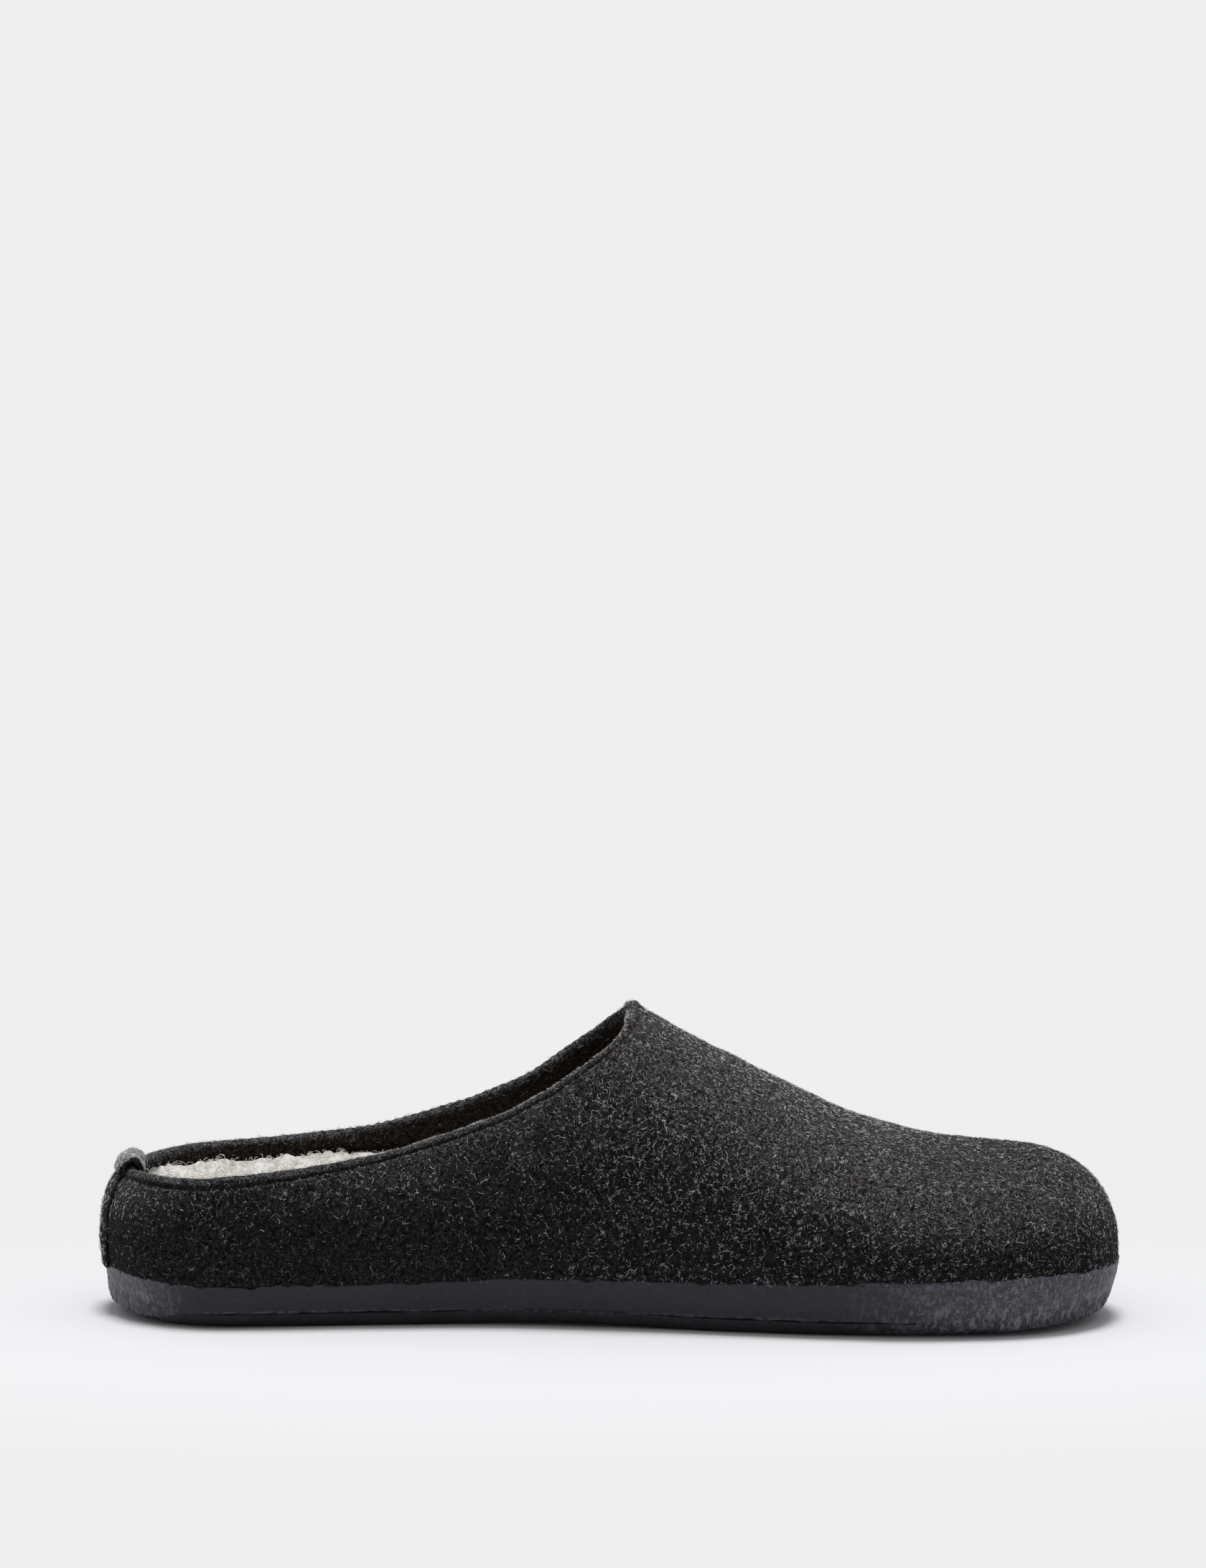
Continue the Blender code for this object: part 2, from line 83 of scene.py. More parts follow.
Plan = namedtuple("Plan", "at middle half widest tuck")
PLAN = [
    Plan(0, 0.0, 36.5, 23.0, 3.0), Plan(36, 0.5, 36.5, 23.0, 3.8),
    Plan(75, 3.0, 36.0, 22.8, 4.6), Plan(110, 5.0, 37.0, 22.4, 4.8),
    Plan(145, 5.0, 41.5, 21.8, 4.9), Plan(180, 3.5, 47.5, 21.0, 5.0),
    Plan(205, 1.8, 50.5, 20.4, 5.2), Plan(230, -1.0, 51.0, 19.9, 5.5),
    Plan(265, -7.0, 51.0, 19.2, 6.1), Plan(LENGTH, -10.0, 51.0, 19.0, 6.4),
]

Crest = namedtuple("Crest", "at top square ridge")
CREST = [
    Crest(0, 50.8, 2.2, 0.0), Crest(8, 51.2, 2.2, 0.0),
    Crest(20, 62.0, 2.2, 0.2), Crest(32, 74.0, 2.2, 0.5),
    Crest(52, 67.0, 2.2, 1.5), Crest(73, 63.5, 2.2, 2.0),
    Crest(93, 67.5, 2.2, 2.0), Crest(113, 74.0, 2.3, 1.0),
    Crest(133, 85.2, 2.5, 0.0), Crest(143, 87.4, 2.6, -0.5),
    Crest(149.5, 86.4, 2.65, -1.0), Crest(153.5, 83.6, 2.6, -1.2),
    Crest(157.5, 81.5, 2.6, -1.4), Crest(165.6, 77.1, 2.55, -1.7),
    Crest(173.7, 72.8, 2.5, -2.0), Crest(181.8, 68.8, 2.45, -2.3),
    Crest(189.9, 64.7, 2.4, -2.6), Crest(197.9, 60.8, 2.35, -3.0),
    Crest(206, 57.1, 2.3, -3.6), Crest(214, 53.9, 2.25, -4.2),
    Crest(222, 51.5, 2.2, -4.8), Crest(230, 49.7, 2.2, -5.5),
    Crest(238, 48.6, 2.2, -6.2), Crest(246.4, 48.3, 2.25, -7.0),
    Crest(254, 48.2, 2.28, -7.6), Crest(LENGTH, 48.2, 2.3, -10.0),
]

Rim = namedtuple("Rim", "at height")
RIM = [
    Rim(0, 41.2), Rim(12, 42.0), Rim(22, 42.3), Rim(32, 42.6),
    Rim(52.5, 44.6), Rim(72.7, 47.5), Rim(93, 52.6), Rim(113, 59.8),
    Rim(125, 66.3),
    Rim(133, 71.8), Rim(143.4, 79.6), Rim(147.4, 83.3), Rim(149.5, 86.5),
    Rim(151.0, 89.2),
]

Band = namedtuple("Band", "at height")
BAND = [
    Band(0, 14.3), Band(16, 13.0), Band(33, 12.1), Band(60, 12.2),
    Band(125, 13.8), Band(180, 14.7), Band(205, 15.3), Band(225, 16.3),
    Band(245, 17.0), Band(265, 17.0), Band(LENGTH, 16.7),
]

Bed = namedtuple("Bed", "at edge middle")
BED = [
    Bed(0, 33.8, 33.4), Bed(4, 33.9, 33.2), Bed(12, 37.0, 32.8),
    Bed(30, 37.4, 32.6), Bed(60, 38.2, 33.2), Bed(80, 39.6, 33.5),
    Bed(96, 38.6, 32.0), Bed(118, 33.5, 28.0), Bed(145, 27.0, 23.0),
    Bed(180, 21.8, 18.8), Bed(215, 19.5, 17.2), Bed(250, 18.8, 17.0),
    Bed(LENGTH, 18.5, 17.5),
]

HEEL_LIFT, HEEL_LIFT_FROM = 3.0, 22.0
TOE_SPRING, TOE_SPRING_FROM = 2.0, 245.0
ARCH_LIFT, ARCH_FROM, ARCH_TO, ARCH_TILT = 0.7, 85.0, 172.0, 0.6

STRIP_HALF_LOW, STRIP_HALF_TOP = 12.0, 10.0
STRIP_THICK, STRIP_FOLD_THICK = 0.9, 1.5
STRIP_LOOP_HALF, STRIP_LOOP_TOP, STRIP_INNER_END = 3.1, 43.3, 35.2


def smooth(rows, column, at):
    """Smooth curve without overshoot through one column of a table."""
    x = np.array([r.at for r in rows], float)
    y = np.array([getattr(r, column) for r in rows], float)
    at = np.clip(np.asarray(at, float), x[0], x[-1])
    h = np.diff(x)
    d = np.diff(y) / h
    m = np.zeros_like(y)
    for i in range(1, len(x) - 1):
        if d[i - 1] * d[i] > 0:
            w1, w2 = 2 * h[i] + h[i - 1], h[i] + 2 * h[i - 1]
            m[i] = (w1 + w2) / (w1 / d[i - 1] + w2 / d[i])
    m[0], m[-1] = d[0], d[-1]
    k = np.clip(np.searchsorted(x, at, side="right") - 1, 0, len(h) - 1)
    t = (at - x[k]) / h[k]
    return ((1 + 2 * t) * (1 - t) ** 2 * y[k] + t * (1 - t) ** 2 * h[k] * m[k]
            + t * t * (3 - 2 * t) * y[k + 1] + t * t * (t - 1) * h[k] * m[k + 1])


def ease(x, low, high):
    """Smooth step from 0 at low to 1 at high."""
    t = np.clip((np.asarray(x, float) - low) / (high - low), 0, 1)
    return t * t * (3 - 2 * t)


def ground(at, y=0.0):
    at = np.asarray(at, float)
    back = np.clip((HEEL_LIFT_FROM - at) / HEEL_LIFT_FROM, 0, 1) ** 2
    front = np.clip((at - TOE_SPRING_FROM) / (LENGTH - TOE_SPRING_FROM), 0, 1) ** 2
    span = np.clip((at - ARCH_FROM) / (ARCH_TO - ARCH_FROM), 0, 1)
    arch = np.sin(math.pi * span) ** 2
    return HEEL_LIFT * back + TOE_SPRING * front + ARCH_LIFT * arch * (1.0 - ARCH_TILT * np.asarray(y, float) / 40.0)


START = STRIP_PROUD
REACH = LENGTH - START


def station(a):
    return START + REACH * 0.5 * (1 - np.cos(a))


def side_line(at, side):
    back = np.clip((START + HEEL_ROUND - at) / HEEL_ROUND, 0, 1)
    front = np.clip((at - TOE_START) / (LENGTH - TOE_START), 0, 1)
    round_off = np.sqrt(np.clip(1 - back ** 2, 0, 1)) * np.sqrt(np.clip(1 - front ** TOE_POWER, 0, 1))
    return smooth(PLAN, "middle", at) + MIDDLE + side * smooth(PLAN, "half", at) * round_off


def plan_point(a, side):
    at = station(a)
    return np.stack([at - LENGTH / 2, side_line(at, side)], -1)


def plan_normal(a, side):
    a, side = np.broadcast_arrays(np.asarray(a, float), np.asarray(side, float))
    low, high = a - 0.01, a + 0.01
    p = plan_point(np.abs(low), np.where(low >= 0, side, -side))
    q = plan_point(np.where(high <= math.pi, high, 2 * math.pi - high), np.where(high <= math.pi, side, -side))
    t = q - p
    t /= np.linalg.norm(t, axis=-1, keepdims=True)
    return np.stack([-t[..., 1], t[..., 0]], -1) * side[..., None]


def spine_point(a):
    at = station(a)
    back = np.clip((130.0 - at) / (130.0 - START), 0, 1) ** 1.4
    front = np.clip((at - 170.0) / (LENGTH - 170.0), 0, 1) ** 1.8
    at = at + SPINE_BACK * back - SPINE_FRONT * front
    return np.stack([at - LENGTH / 2, smooth(CREST, "ridge", at) + MIDDLE], -1)


def widest(a):
    return smooth(PLAN, "widest", station(a))


def flank(a, side, z, inset=0.0):
    """Points of the side below the widest line."""
    a, z = np.broadcast_arrays(np.asarray(a, float), np.asarray(z, float))
    low = np.clip((widest(a) - z) / widest(a), 0, 1)
    tuck = smooth(PLAN, "tuck", station(a)) * low ** TUCK_POWER + inset
    p = plan_point(a, side) - plan_normal(a, side) * tuck[..., None]
    return np.concatenate([p, z[..., None]], -1)


def crown(a, side, angle):
    """Points of the wall above the widest line; angle 0 there, 90 degrees at the ridge."""
    a, angle = np.broadcast_arrays(np.asarray(a, float), np.asarray(angle, float))
    p, s = plan_point(a, side), spine_point(a)
    square = smooth(CREST, "square", station(a))
    c = np.clip(np.cos(np.minimum(angle, math.pi / 2)), 0, 1) ** (2.0 / square)
    xy = s + (p - s) * c[..., None]
    top = smooth(CREST, "top", xy[..., 0] + LENGTH / 2)
    z = widest(a) + (top - widest(a)) * np.clip(np.sin(angle), 0, 1) ** (2.0 / square)
    return np.concatenate([xy, z[..., None]], -1)


def cut_line():
    at = np.array([r.at for r in RIM])
    grid = np.linspace(at[0], at[-1], 160)
    high = smooth(RIM, "height", grid)
    slope = np.gradient(high, grid)
    length = np.sqrt(1 + slope ** 2)
    return grid + FELT / 2 * slope / length, high - FELT / 2 / length


CUT_AT, CUT_HIGH = cut_line()


def throat_angle():
    low, high = 1.2, 2.2
    for _ in range(50):
        mid = (low + high) / 2
        at = spine_point(mid)[0] + LENGTH / 2
        if at < CUT_AT[-1] and np.interp(at, CUT_AT, CUT_HIGH) < smooth(CREST, "top", at):
            low = mid
        else:
            high = mid
    return low


THROAT = throat_angle()


def rim_angle(a, side):
    """Angle in the section where the wall ends under the collar."""
    a = np.asarray(a, float)
    low, high = np.zeros_like(a), np.full_like(a, math.pi / 2)
    for _ in range(40):
        mid = (low + high) / 2
        p = crown(a, side, mid)
        under = p[..., 2] < np.interp(p[..., 0] + LENGTH / 2, CUT_AT, CUT_HIGH)
        low, high = np.where(under, mid, low), np.where(under, high, mid)
    return low


# ------------------------------------------------------------ smooth random fields
def hashed(ix, iy, iz, seed):
    h = (ix * 374761393 + iy * 668265263 + iz * 2147483647 + seed * 1274126177) & 0xFFFFFFFF
    h = ((h ^ (h >> 13)) * 1274126177) & 0xFFFFFFFF
    h = ((h ^ (h >> 16)) * 2246822519) & 0xFFFFFFFF
    return ((h ^ (h >> 15)) & 0xFFFF) / 32767.5 - 1.0


def lumps(points, size, seed):
    """Smooth field from -1 to 1 with features of this size in millimetres."""
    p = np.asarray(points, float) / size + 1000.0
    i = np.floor(p).astype(np.int64)
    f = p - i
    f = f * f * f * (f * (f * 6 - 15) + 10)
    total = 0.0
    for dx in (0, 1):
        for dy in (0, 1):
            for dz in (0, 1):
                w = ((f[..., 0] if dx else 1 - f[..., 0]) * (f[..., 1] if dy else 1 - f[..., 1])
                     * (f[..., 2] if dz else 1 - f[..., 2]))
                total = total + w * hashed(i[..., 0] + dx, i[..., 1] + dy, i[..., 2] + dz, seed)
    return total


# ------------------------------------------------------------ mesh building
class Shell:
    """Collects rings of points in millimetres and joins them into one closed mesh."""

    def __init__(self):
        self.points, self.faces, self.groups, self.count = [], [], [], 0

    def add(self, points):
        points = np.asarray(points, float).reshape(-1, 3)
        first = self.count
        self.points.append(points)
        self.count += len(points)
        return np.arange(first, first + len(points))

    def band(self, low, high, closed=True, group=0):
        nlow, nhigh = np.roll(low, -1), np.roll(high, -1)
        faces = np.stack([low, nlow, nhigh, high], 1)
        self.quads(faces if closed else faces[:-1], group)

    def quads(self, faces, group=0):
        self.faces.append(faces)
        self.groups.append(np.full(len(faces), group))

    def plate(self, loop, height, across, group=0):
        """Fills a ring of columns with strips from side to side, shaped by height(points, share)."""
        n = len(loop)
        half = n // 2
        all_points = np.concatenate(self.points)
        pa, pb = all_points[loop[1:half]], all_points[loop[:half:-1]]
        share = np.arange(1, across) / across
        inside = pa[:, None, :] + (pb - pa)[:, None, :] * share[None, :, None]
        inside[..., 2] = height(inside, np.broadcast_to(share[None, :], inside.shape[:2]))
        ids = self.add(inside).reshape(half - 1, across - 1)
        grid = np.concatenate([loop[1:half][:, None], ids, loop[:half:-1][:, None]], 1)
        quads = np.stack([grid[:-1, :-1], grid[1:, :-1], grid[1:, 1:], grid[:-1, 1:]], -1).reshape(-1, 4)
        self.quads(quads, group)
        for tip, row, turn in ((loop[0], grid[0], False), (loop[half], grid[-1], True)):
            a, b = (row[1:], row[:-1]) if turn else (row[:-1], row[1:])
            self.quads(np.stack([np.full(len(a), tip), a, b, b], 1), group)
        return grid

    def build(self, name, materials, smooth_angle=None):
        points, faces = np.concatenate(self.points), np.concatenate(self.faces)
        groups = np.concatenate(self.groups)
        used, faces = np.unique(faces, return_inverse=True)
        faces = faces.reshape(-1, 4)
        mesh = bpy.data.meshes.new(name)
        bm = bmesh.new()
        verts = [bm.verts.new(p) for p in (points[used] * MM)]
        for f, g in zip(faces.tolist(), groups.tolist()):
            f = f if f[2] != f[3] else f[:3]
            bm.faces.new([verts[i] for i in f]).material_index = g
        bmesh.ops.recalc_face_normals(bm, faces=bm.faces)
        if bm.calc_volume(signed=True) < 0:
            bmesh.ops.reverse_faces(bm, faces=bm.faces)
        bm.to_mesh(mesh)
        bm.free()
        mesh.shade_smooth()
        if smooth_angle:
            mesh.set_sharp_from_angle(angle=math.radians(smooth_angle))
        for m in materials:
            mesh.materials.append(m)
        obj = bpy.data.objects.new(name, mesh)
        bpy.context.scene.collection.objects.link(obj)
        return obj


def unit(v):
    return v / np.maximum(np.linalg.norm(v, axis=-1, keepdims=True), 1e-12)


def face_normals(points, faces):
    p = points[faces]
    return np.cross(p[:, 2] - p[:, 0], p[:, 3] - p[:, 1])


def point_normals(points, faces):
    n = face_normals(points, faces)
    total = np.zeros_like(points)
    for k in range(4):
        np.add.at(total, faces[:, k], n)
    return unit(total)


# ------------------------------------------------------------ columns of the skin
OPEN = 150              # columns from the heel to the throat, each side
SHUT = 120              # columns from the throat to the toe, each side
HALF = OPEN + SHUT
RING = 2 * HALF


def even(curve, values, count):
    """Values that are evenly spaced along a curve of points."""
    run = np.r_[0, np.cumsum(np.linalg.norm(np.diff(curve, axis=0), axis=1))]
    return np.interp(np.linspace(0, run[-1], count + 1), run, values)


def column_angles():
    """Angle of each column at its foot and at its top, from the heel to the toe."""
    fine = np.r_[0, np.geomspace(1e-3, 1, 1500)] * THROAT
    rim = crown(fine, 1.0, rim_angle(fine, 1.0))
    top_open = even(rim, fine, OPEN)
    late = np.linspace(THROAT, math.pi, 1500)
    ridge = np.concatenate([spine_point(late), smooth(CREST, "top", spine_point(late)[:, 0] + LENGTH / 2)[:, None]], 1)
    top_shut = even(ridge, late, SHUT)
    whole = np.linspace(0, math.pi, 4000)
    outline = plan_point(whole, 1.0)
    run = np.r_[0, np.cumsum(np.linalg.norm(np.diff(outline, axis=0), axis=1))]
    share = np.interp(THROAT, whole, run)
    goal = np.r_[np.linspace(0, share, OPEN + 1), np.linspace(share, run[-1], SHUT + 1)[1:]]
    # an even spread that passes the throat a little early, so that columns do not bunch there
    even_all = np.linspace(0, run[-1], HALF + 1)
    foot = np.interp(0.5 * goal + 0.5 * even_all, run, whole)
    return foot, np.r_[top_open, top_shut[1:]]


FOOT, TOP = column_angles()
END = np.where(np.arange(HALF + 1) < OPEN, 0.0, math.pi / 2)
END[:OPEN] = rim_angle(TOP[:OPEN], 1.0)
ENDS_IN = END.copy()
ENDS_IN[:OPEN] = rim_angle(TOP[:OPEN], -1.0)


def ring_of(values, inner=None):
    """Values of the half ring laid round the whole ring."""
    inner = values if inner is None else inner
    return np.r_[values, inner[-2:0:-1]]


A_FOOT, A_TOP = ring_of(FOOT), ring_of(TOP)
THETA = ring_of(END, ENDS_IN)
SIDE = np.r_[np.ones(HALF + 1), -np.ones(HALF - 1)]
BAND_TOP = smooth(BAND, "height", station(A_FOOT))

# rows of the wall, by their distance in millimetres under the collar or the ridge
NEAR_TOP = [0.0, 0.35, 0.65, 0.85, 1.05, 1.25, 1.45, 1.65, 1.85, 2.1, 2.5, 3.0, 3.8, 4.9, 6.3, 8.0]
WALL = 30


def wall_rows():
    t = np.linspace(0, 1, 90)[:, None]
    a = A_FOOT + (A_TOP - A_FOOT) * ease(t, 0.0, 1.0)
    line = crown(a, SIDE, THETA * t)
    step = np.linalg.norm(np.diff(line, axis=0), axis=2)
    down = np.r_[np.zeros((1, RING)), np.cumsum(step[::-1], axis=0)][::-1]     # distance under the top
    length = down[0]
    rows = []
    near = np.array(NEAR_TOP)
    rest = np.linspace(0, 1, WALL + 1)[1:]
    goals = [np.full(RING, d) for d in near]
    goals += [near[-1] + (length - near[-1]) * (0.75 * r + 0.25 * r * r) for r in rest]
    for goal in reversed(goals):
        share = np.empty(RING)
        for c in range(RING):
            share[c] = np.interp(goal[c], down[::-1, c], t[::-1, 0])
        a = A_FOOT + (A_TOP - A_FOOT) * ease(share, 0.0, 1.0)
        rows.append(crown(a, SIDE, THETA * share))
    return np.array(rows)


def foot_rows(low, high, count):
    """Rows of the side from height low to just under the widest line."""
    rows = []
    for j in range(count):
        z = low + (high - low) * j / count
        rows.append(flank(A_FOOT, SIDE, z))
    return np.array(rows)


LEDGE = BAND_TOP - 0.5
skin = np.concatenate([foot_rows(LEDGE, widest(A_FOOT), 6), wall_rows()])
R = len(skin)
ids = np.arange(R * RING).reshape(R, RING)
for c in range(OPEN, HALF):
    ids[-1, RING - c] = ids[-1, c]
skin_faces = np.stack([ids[:-1], np.roll(ids[:-1], -1, 1), np.roll(ids[1:], -1, 1), ids[1:]], -1).reshape(-1, 4)
skin_flat = skin.reshape(-1, 3)
normals = point_normals(skin_flat, skin_faces)
normals[ids[-1]] = normals[ids[-1]]
if np.sum(normals[ids[6]] * (skin_flat[ids[6]] - skin_flat.mean(0))) < 0:
    normals = -normals
normals = normals[ids].reshape(R, RING, 3)
skin = skin_flat[ids].reshape(R, RING, 3)

LOOP = np.r_[np.arange(0, OPEN + 1), np.arange(RING - OPEN + 1, RING)]
rim_edge, rim_out = skin[-1][LOOP], normals[-1][LOOP]
rim_along = np.roll(rim_edge, -1, axis=0) - np.roll(rim_edge, 1, axis=0)
rim_up = unit(np.cross(rim_out, rim_along))
if rim_up[:, 2].mean() < 0:
    rim_up = -rim_up


def rim_distance(points, reach=12.0):
    """Distance of each point from the end of the wall under the collar."""
    flat = points.reshape(-1, 3)
    out = np.full(len(flat), 1e3)
    near = np.nonzero((flat[:, 2] > 30) & (flat[:, 0] < 20))[0]
    for part in np.array_split(near, max(1, len(near) // 4000)):
        d = np.linalg.norm(flat[part][:, None, :] - rim_edge[None, ::2, :], axis=2).min(1)
        out[part] = d
    return out.reshape(points.shape[:-1])


AT = skin[..., 0] + LENGTH / 2


# ------------------------------------------------------------ node helpers
class Nodes:
    def __init__(self, tree):
        self.tree = tree

    def add(self, kind, **values):
        node = self.tree.nodes.new(kind)
        for key, value in values.items():
            setattr(node, key, value)
        return node

    def link(self, value, socket):
        if hasattr(value, "is_output"):
            self.tree.links.new(value, socket)
        else:
            socket.default_value = value

    def math(self, op, a, b=0.0, c=0.0, clamp=False):
        node = self.add("ShaderNodeMath", operation=op, use_clamp=clamp)
        for value, socket in zip((a, b, c), node.inputs):
            self.link(value, socket)
        return node.outputs[0]

    def ramp(self, value, low, high, to_low=0.0, to_high=1.0):
        node = self.add("ShaderNodeMapRange", interpolation_type="SMOOTHSTEP", clamp=True)
        for v, socket in zip((value, low, high, to_low, to_high), node.inputs):
            self.link(v, socket)
        return node.outputs[0]

    def mix(self, share, a, b):
        node = self.add("ShaderNodeMix", data_type="RGBA")
        self.link(share, node.inputs[0])
        self.link(a, node.inputs[6])
        self.link(b, node.inputs[7])
        return node.outputs[2]

    def place(self, scale=(1, 1, 1), offset=(0, 0, 0)):
        where = self.add("ShaderNodeTexCoord").outputs["Object"]
        node = self.add("ShaderNodeMapping")
        self.link(where, node.inputs["Vector"])
        node.inputs["Location"].default_value = offset
        node.inputs["Scale"].default_value = scale
        return node.outputs[0]

    def noise(self, size, detail=1.0, distort=0.0, offset=(0, 0, 0), stretch=(1, 1, 1), rough=0.5):
        """Noise with features of this size in millimetres."""
        node = self.add("ShaderNodeTexNoise", noise_dimensions="3D")
        self.link(self.place(stretch, offset), node.inputs["Vector"])
        node.inputs["Scale"].default_value = 1000.0 / size
        node.inputs["Detail"].default_value = detail
        node.inputs["Roughness"].default_value = rough
        node.inputs["Distortion"].default_value = distort
        return node.outputs["Fac"]

    def fibres(self, size, width, offset, cover, mask_size, distort=0.6, stretch=(1, 1, 1)):
        """Thin curly lines: the level line of a noise, broken up by a second noise."""
        n = self.noise(size, 0.0, distort, offset, stretch)
        line = self.ramp(self.math("ABSOLUTE", self.math("SUBTRACT", n, 0.5)), 0.0, width, 1.0, 0.0)
        m = self.noise(mask_size, 1.0, 0.0, tuple(o + 0.37 for o in offset), stretch)
        if hasattr(cover, "is_output"):
            mask = self.ramp(self.math("ADD", m, cover), 0.50, 0.58)
        else:
            mask = self.ramp(m, cover, cover + 0.08)
        return self.math("MULTIPLY", line, mask)

    def position(self, axis):
        node = self.add("ShaderNodeSeparateXYZ")
        self.link(self.add("ShaderNodeTexCoord").outputs["Object"], node.inputs[0])
        return node.outputs[axis]

    def tinted(self, colour):
        """The colour in soft patches, some bluer and some browner."""
        patch = self.ramp(self.noise(8.0, 2.0, 0.5, (0.15, 0.45, 0.75)), 0.38, 0.62)
        node = self.add("ShaderNodeVectorMath", operation="MULTIPLY")
        self.link(colour, node.inputs[0])
        self.link(self.mix(patch, (1.030, 0.998, 0.975, 1), (0.975, 0.998, 1.035, 1)), node.inputs[1])
        return node.outputs[0]

    def facing_up(self):
        node = self.add("ShaderNodeSeparateXYZ")
        self.link(self.add("ShaderNodeNewGeometry").outputs["Normal"], node.inputs[0])
        return node.outputs[2]

    def bump(self, height, strength, distance_mm, normal=None):
        node = self.add("ShaderNodeBump")
        self.link(height, node.inputs["Height"])
        node.inputs["Strength"].default_value = strength
        node.inputs["Distance"].default_value = distance_mm * MM
        if normal is not None:
            self.link(normal, node.inputs["Normal"])
        return node.outputs[0]


def new_material(name, roughness=0.9, specular=0.1, sheen=0.0, sheen_rough=0.4, tint=(1, 1, 1)):
    material = bpy.data.materials.new(name)
    material.use_nodes = True
    shader = material.node_tree.nodes["Principled BSDF"]
    shader.inputs["Roughness"].default_value = roughness
    shader.inputs["Specular IOR Level"].default_value = specular
    shader.inputs["Sheen Weight"].default_value = sheen
    shader.inputs["Sheen Roughness"].default_value = sheen_rough
    shader.inputs["Sheen Tint"].default_value = (*tint, 1)
    return material, shader, Nodes(material.node_tree)


def felt_material(name, dark, blue, brown, hair, side_gain, top_light_gain, inner=False, far=0.0):
    material, shader, n = new_material(name, 1.0, 0.0, 0.04, 0.5, (0.8, 0.82, 0.9))
    up = n.ramp(n.facing_up(), 0.02, 0.75)
    patch = n.noise(1.7, 2.0, 0.5)
    base = n.mix(n.ramp(patch, 0.40, 0.60), (*brown, 1), (*dark, 1))
    base = n.mix(n.ramp(n.noise(1.5, 2.0, 0.5, (0.3, 0.1, 0.7)), 0.55, 0.68), base, (*blue, 1))
    speck = n.noise(0.42, 2.0, 0.8, (0.2, 0.9, 0.4))
    grain = n.noise(0.85, 1.0, 0.6, (0.4, 0.3, 0.1))
    gain = n.math("MULTIPLY", n.ramp(speck, 0.34, 0.68, 0.30, 1.75), n.ramp(grain, 0.34, 0.66, 0.50, 1.60))
    # painted top light: where the felt faces up its colour is lighter and more contrasted than on the sides
    gain = n.math("POWER", gain, n.math("ADD", 1.0, n.math("MULTIPLY", up, 0.75)))
    gain = n.math("MULTIPLY", gain, n.math("ADD", side_gain, n.math("MULTIPLY", up, 0.0 if inner else top_light_gain)))
    # painted shade: the felt darkens towards the toe
    gain = n.math("MULTIPLY", gain, n.ramp(n.position(0), 0.092, 0.130, 1.0, 0.80))
    if far:
        gain = n.math("MULTIPLY", gain, n.ramp(n.position(1), 0.0, 0.016, 1.0, 1.0 + far))
    lit = n.add("ShaderNodeVectorMath", operation="SCALE")
    n.link(base, lit.inputs[0])
    n.link(gain, lit.inputs["Scale"])
    base = n.tinted(lit.outputs[0])
    # curls in three sizes, more of them and lighter where the felt faces up: painted top light
    cover = n.math("MULTIPLY", up, 0.0 if inner else 0.10)
    big = n.fibres(1.5, 0.022, (0.11, 0.52, 0.23), n.math("SUBTRACT", cover, 0.05), 2.2, 1.0)
    mid = n.fibres(1.0, 0.030, (0.71, 0.12, 0.43), n.math("SUBTRACT", cover, 0.02), 1.6, 0.8)
    fine = n.fibres(0.6, 0.050, (0.31, 0.82, 0.63), n.math("ADD", cover, 0.0), 1.0, 0.6)
    light = n.math("ADD", n.math("MULTIPLY", big, 0.75),
                   n.math("ADD", n.math("MULTIPLY", mid, 0.6), n.math("MULTIPLY", fine, 0.40)), clamp=True)
    fade = n.ramp(n.noise(2.6, 1.0, 0.0, (0.5, 0.5, 0.1)), 0.3, 0.7, 0.30, 1.0)
    light = n.math("MULTIPLY", light, fade)
    light = n.math("MULTIPLY", light, n.math("ADD", 0.30, n.math("MULTIPLY", up, 0.50)))
    if inner:
        light = n.math("MULTIPLY", light, 0.35)
    n.link(n.mix(light, base, (*hair, 1)), shader.inputs["Base Color"])
    height = n.math("ADD", n.math("MULTIPLY", light, 0.6),
                    n.math("ADD", n.math("MULTIPLY", speck, 0.5), n.math("MULTIPLY", n.noise(2.2, 2.0, 0.4), 0.8)))
    n.link(n.bump(height, 0.8, 0.35), shader.inputs["Normal"])
    return material


def hair_material(name, low, high, back=1.0, toe=0.70):
    material, shader, n = new_material(name, 0.75, 0.25)
    shade = n.ramp(n.noise(1.1, 1.0, 0.0, (0.4, 0.2, 0.9)), 0.36, 0.66)
    lit = n.add("ShaderNodeVectorMath", operation="SCALE")
    n.link(n.mix(shade, (*low, 1), (*high, 1)), lit.inputs[0])
    # painted shade: the curls darken towards the toe
    front = n.math("MULTIPLY", n.ramp(n.position(0), -0.045, 0.012, back, 1.0), n.ramp(n.position(0), 0.066, 0.108, 1.0, toe))
    n.link(front, lit.inputs["Scale"])
    n.link(n.tinted(lit.outputs[0]), shader.inputs["Base Color"])
    fine = n.noise(0.12, 1.0, 0.0)
    n.link(n.bump(fine, 0.3, 0.02), shader.inputs["Normal"])
    return material


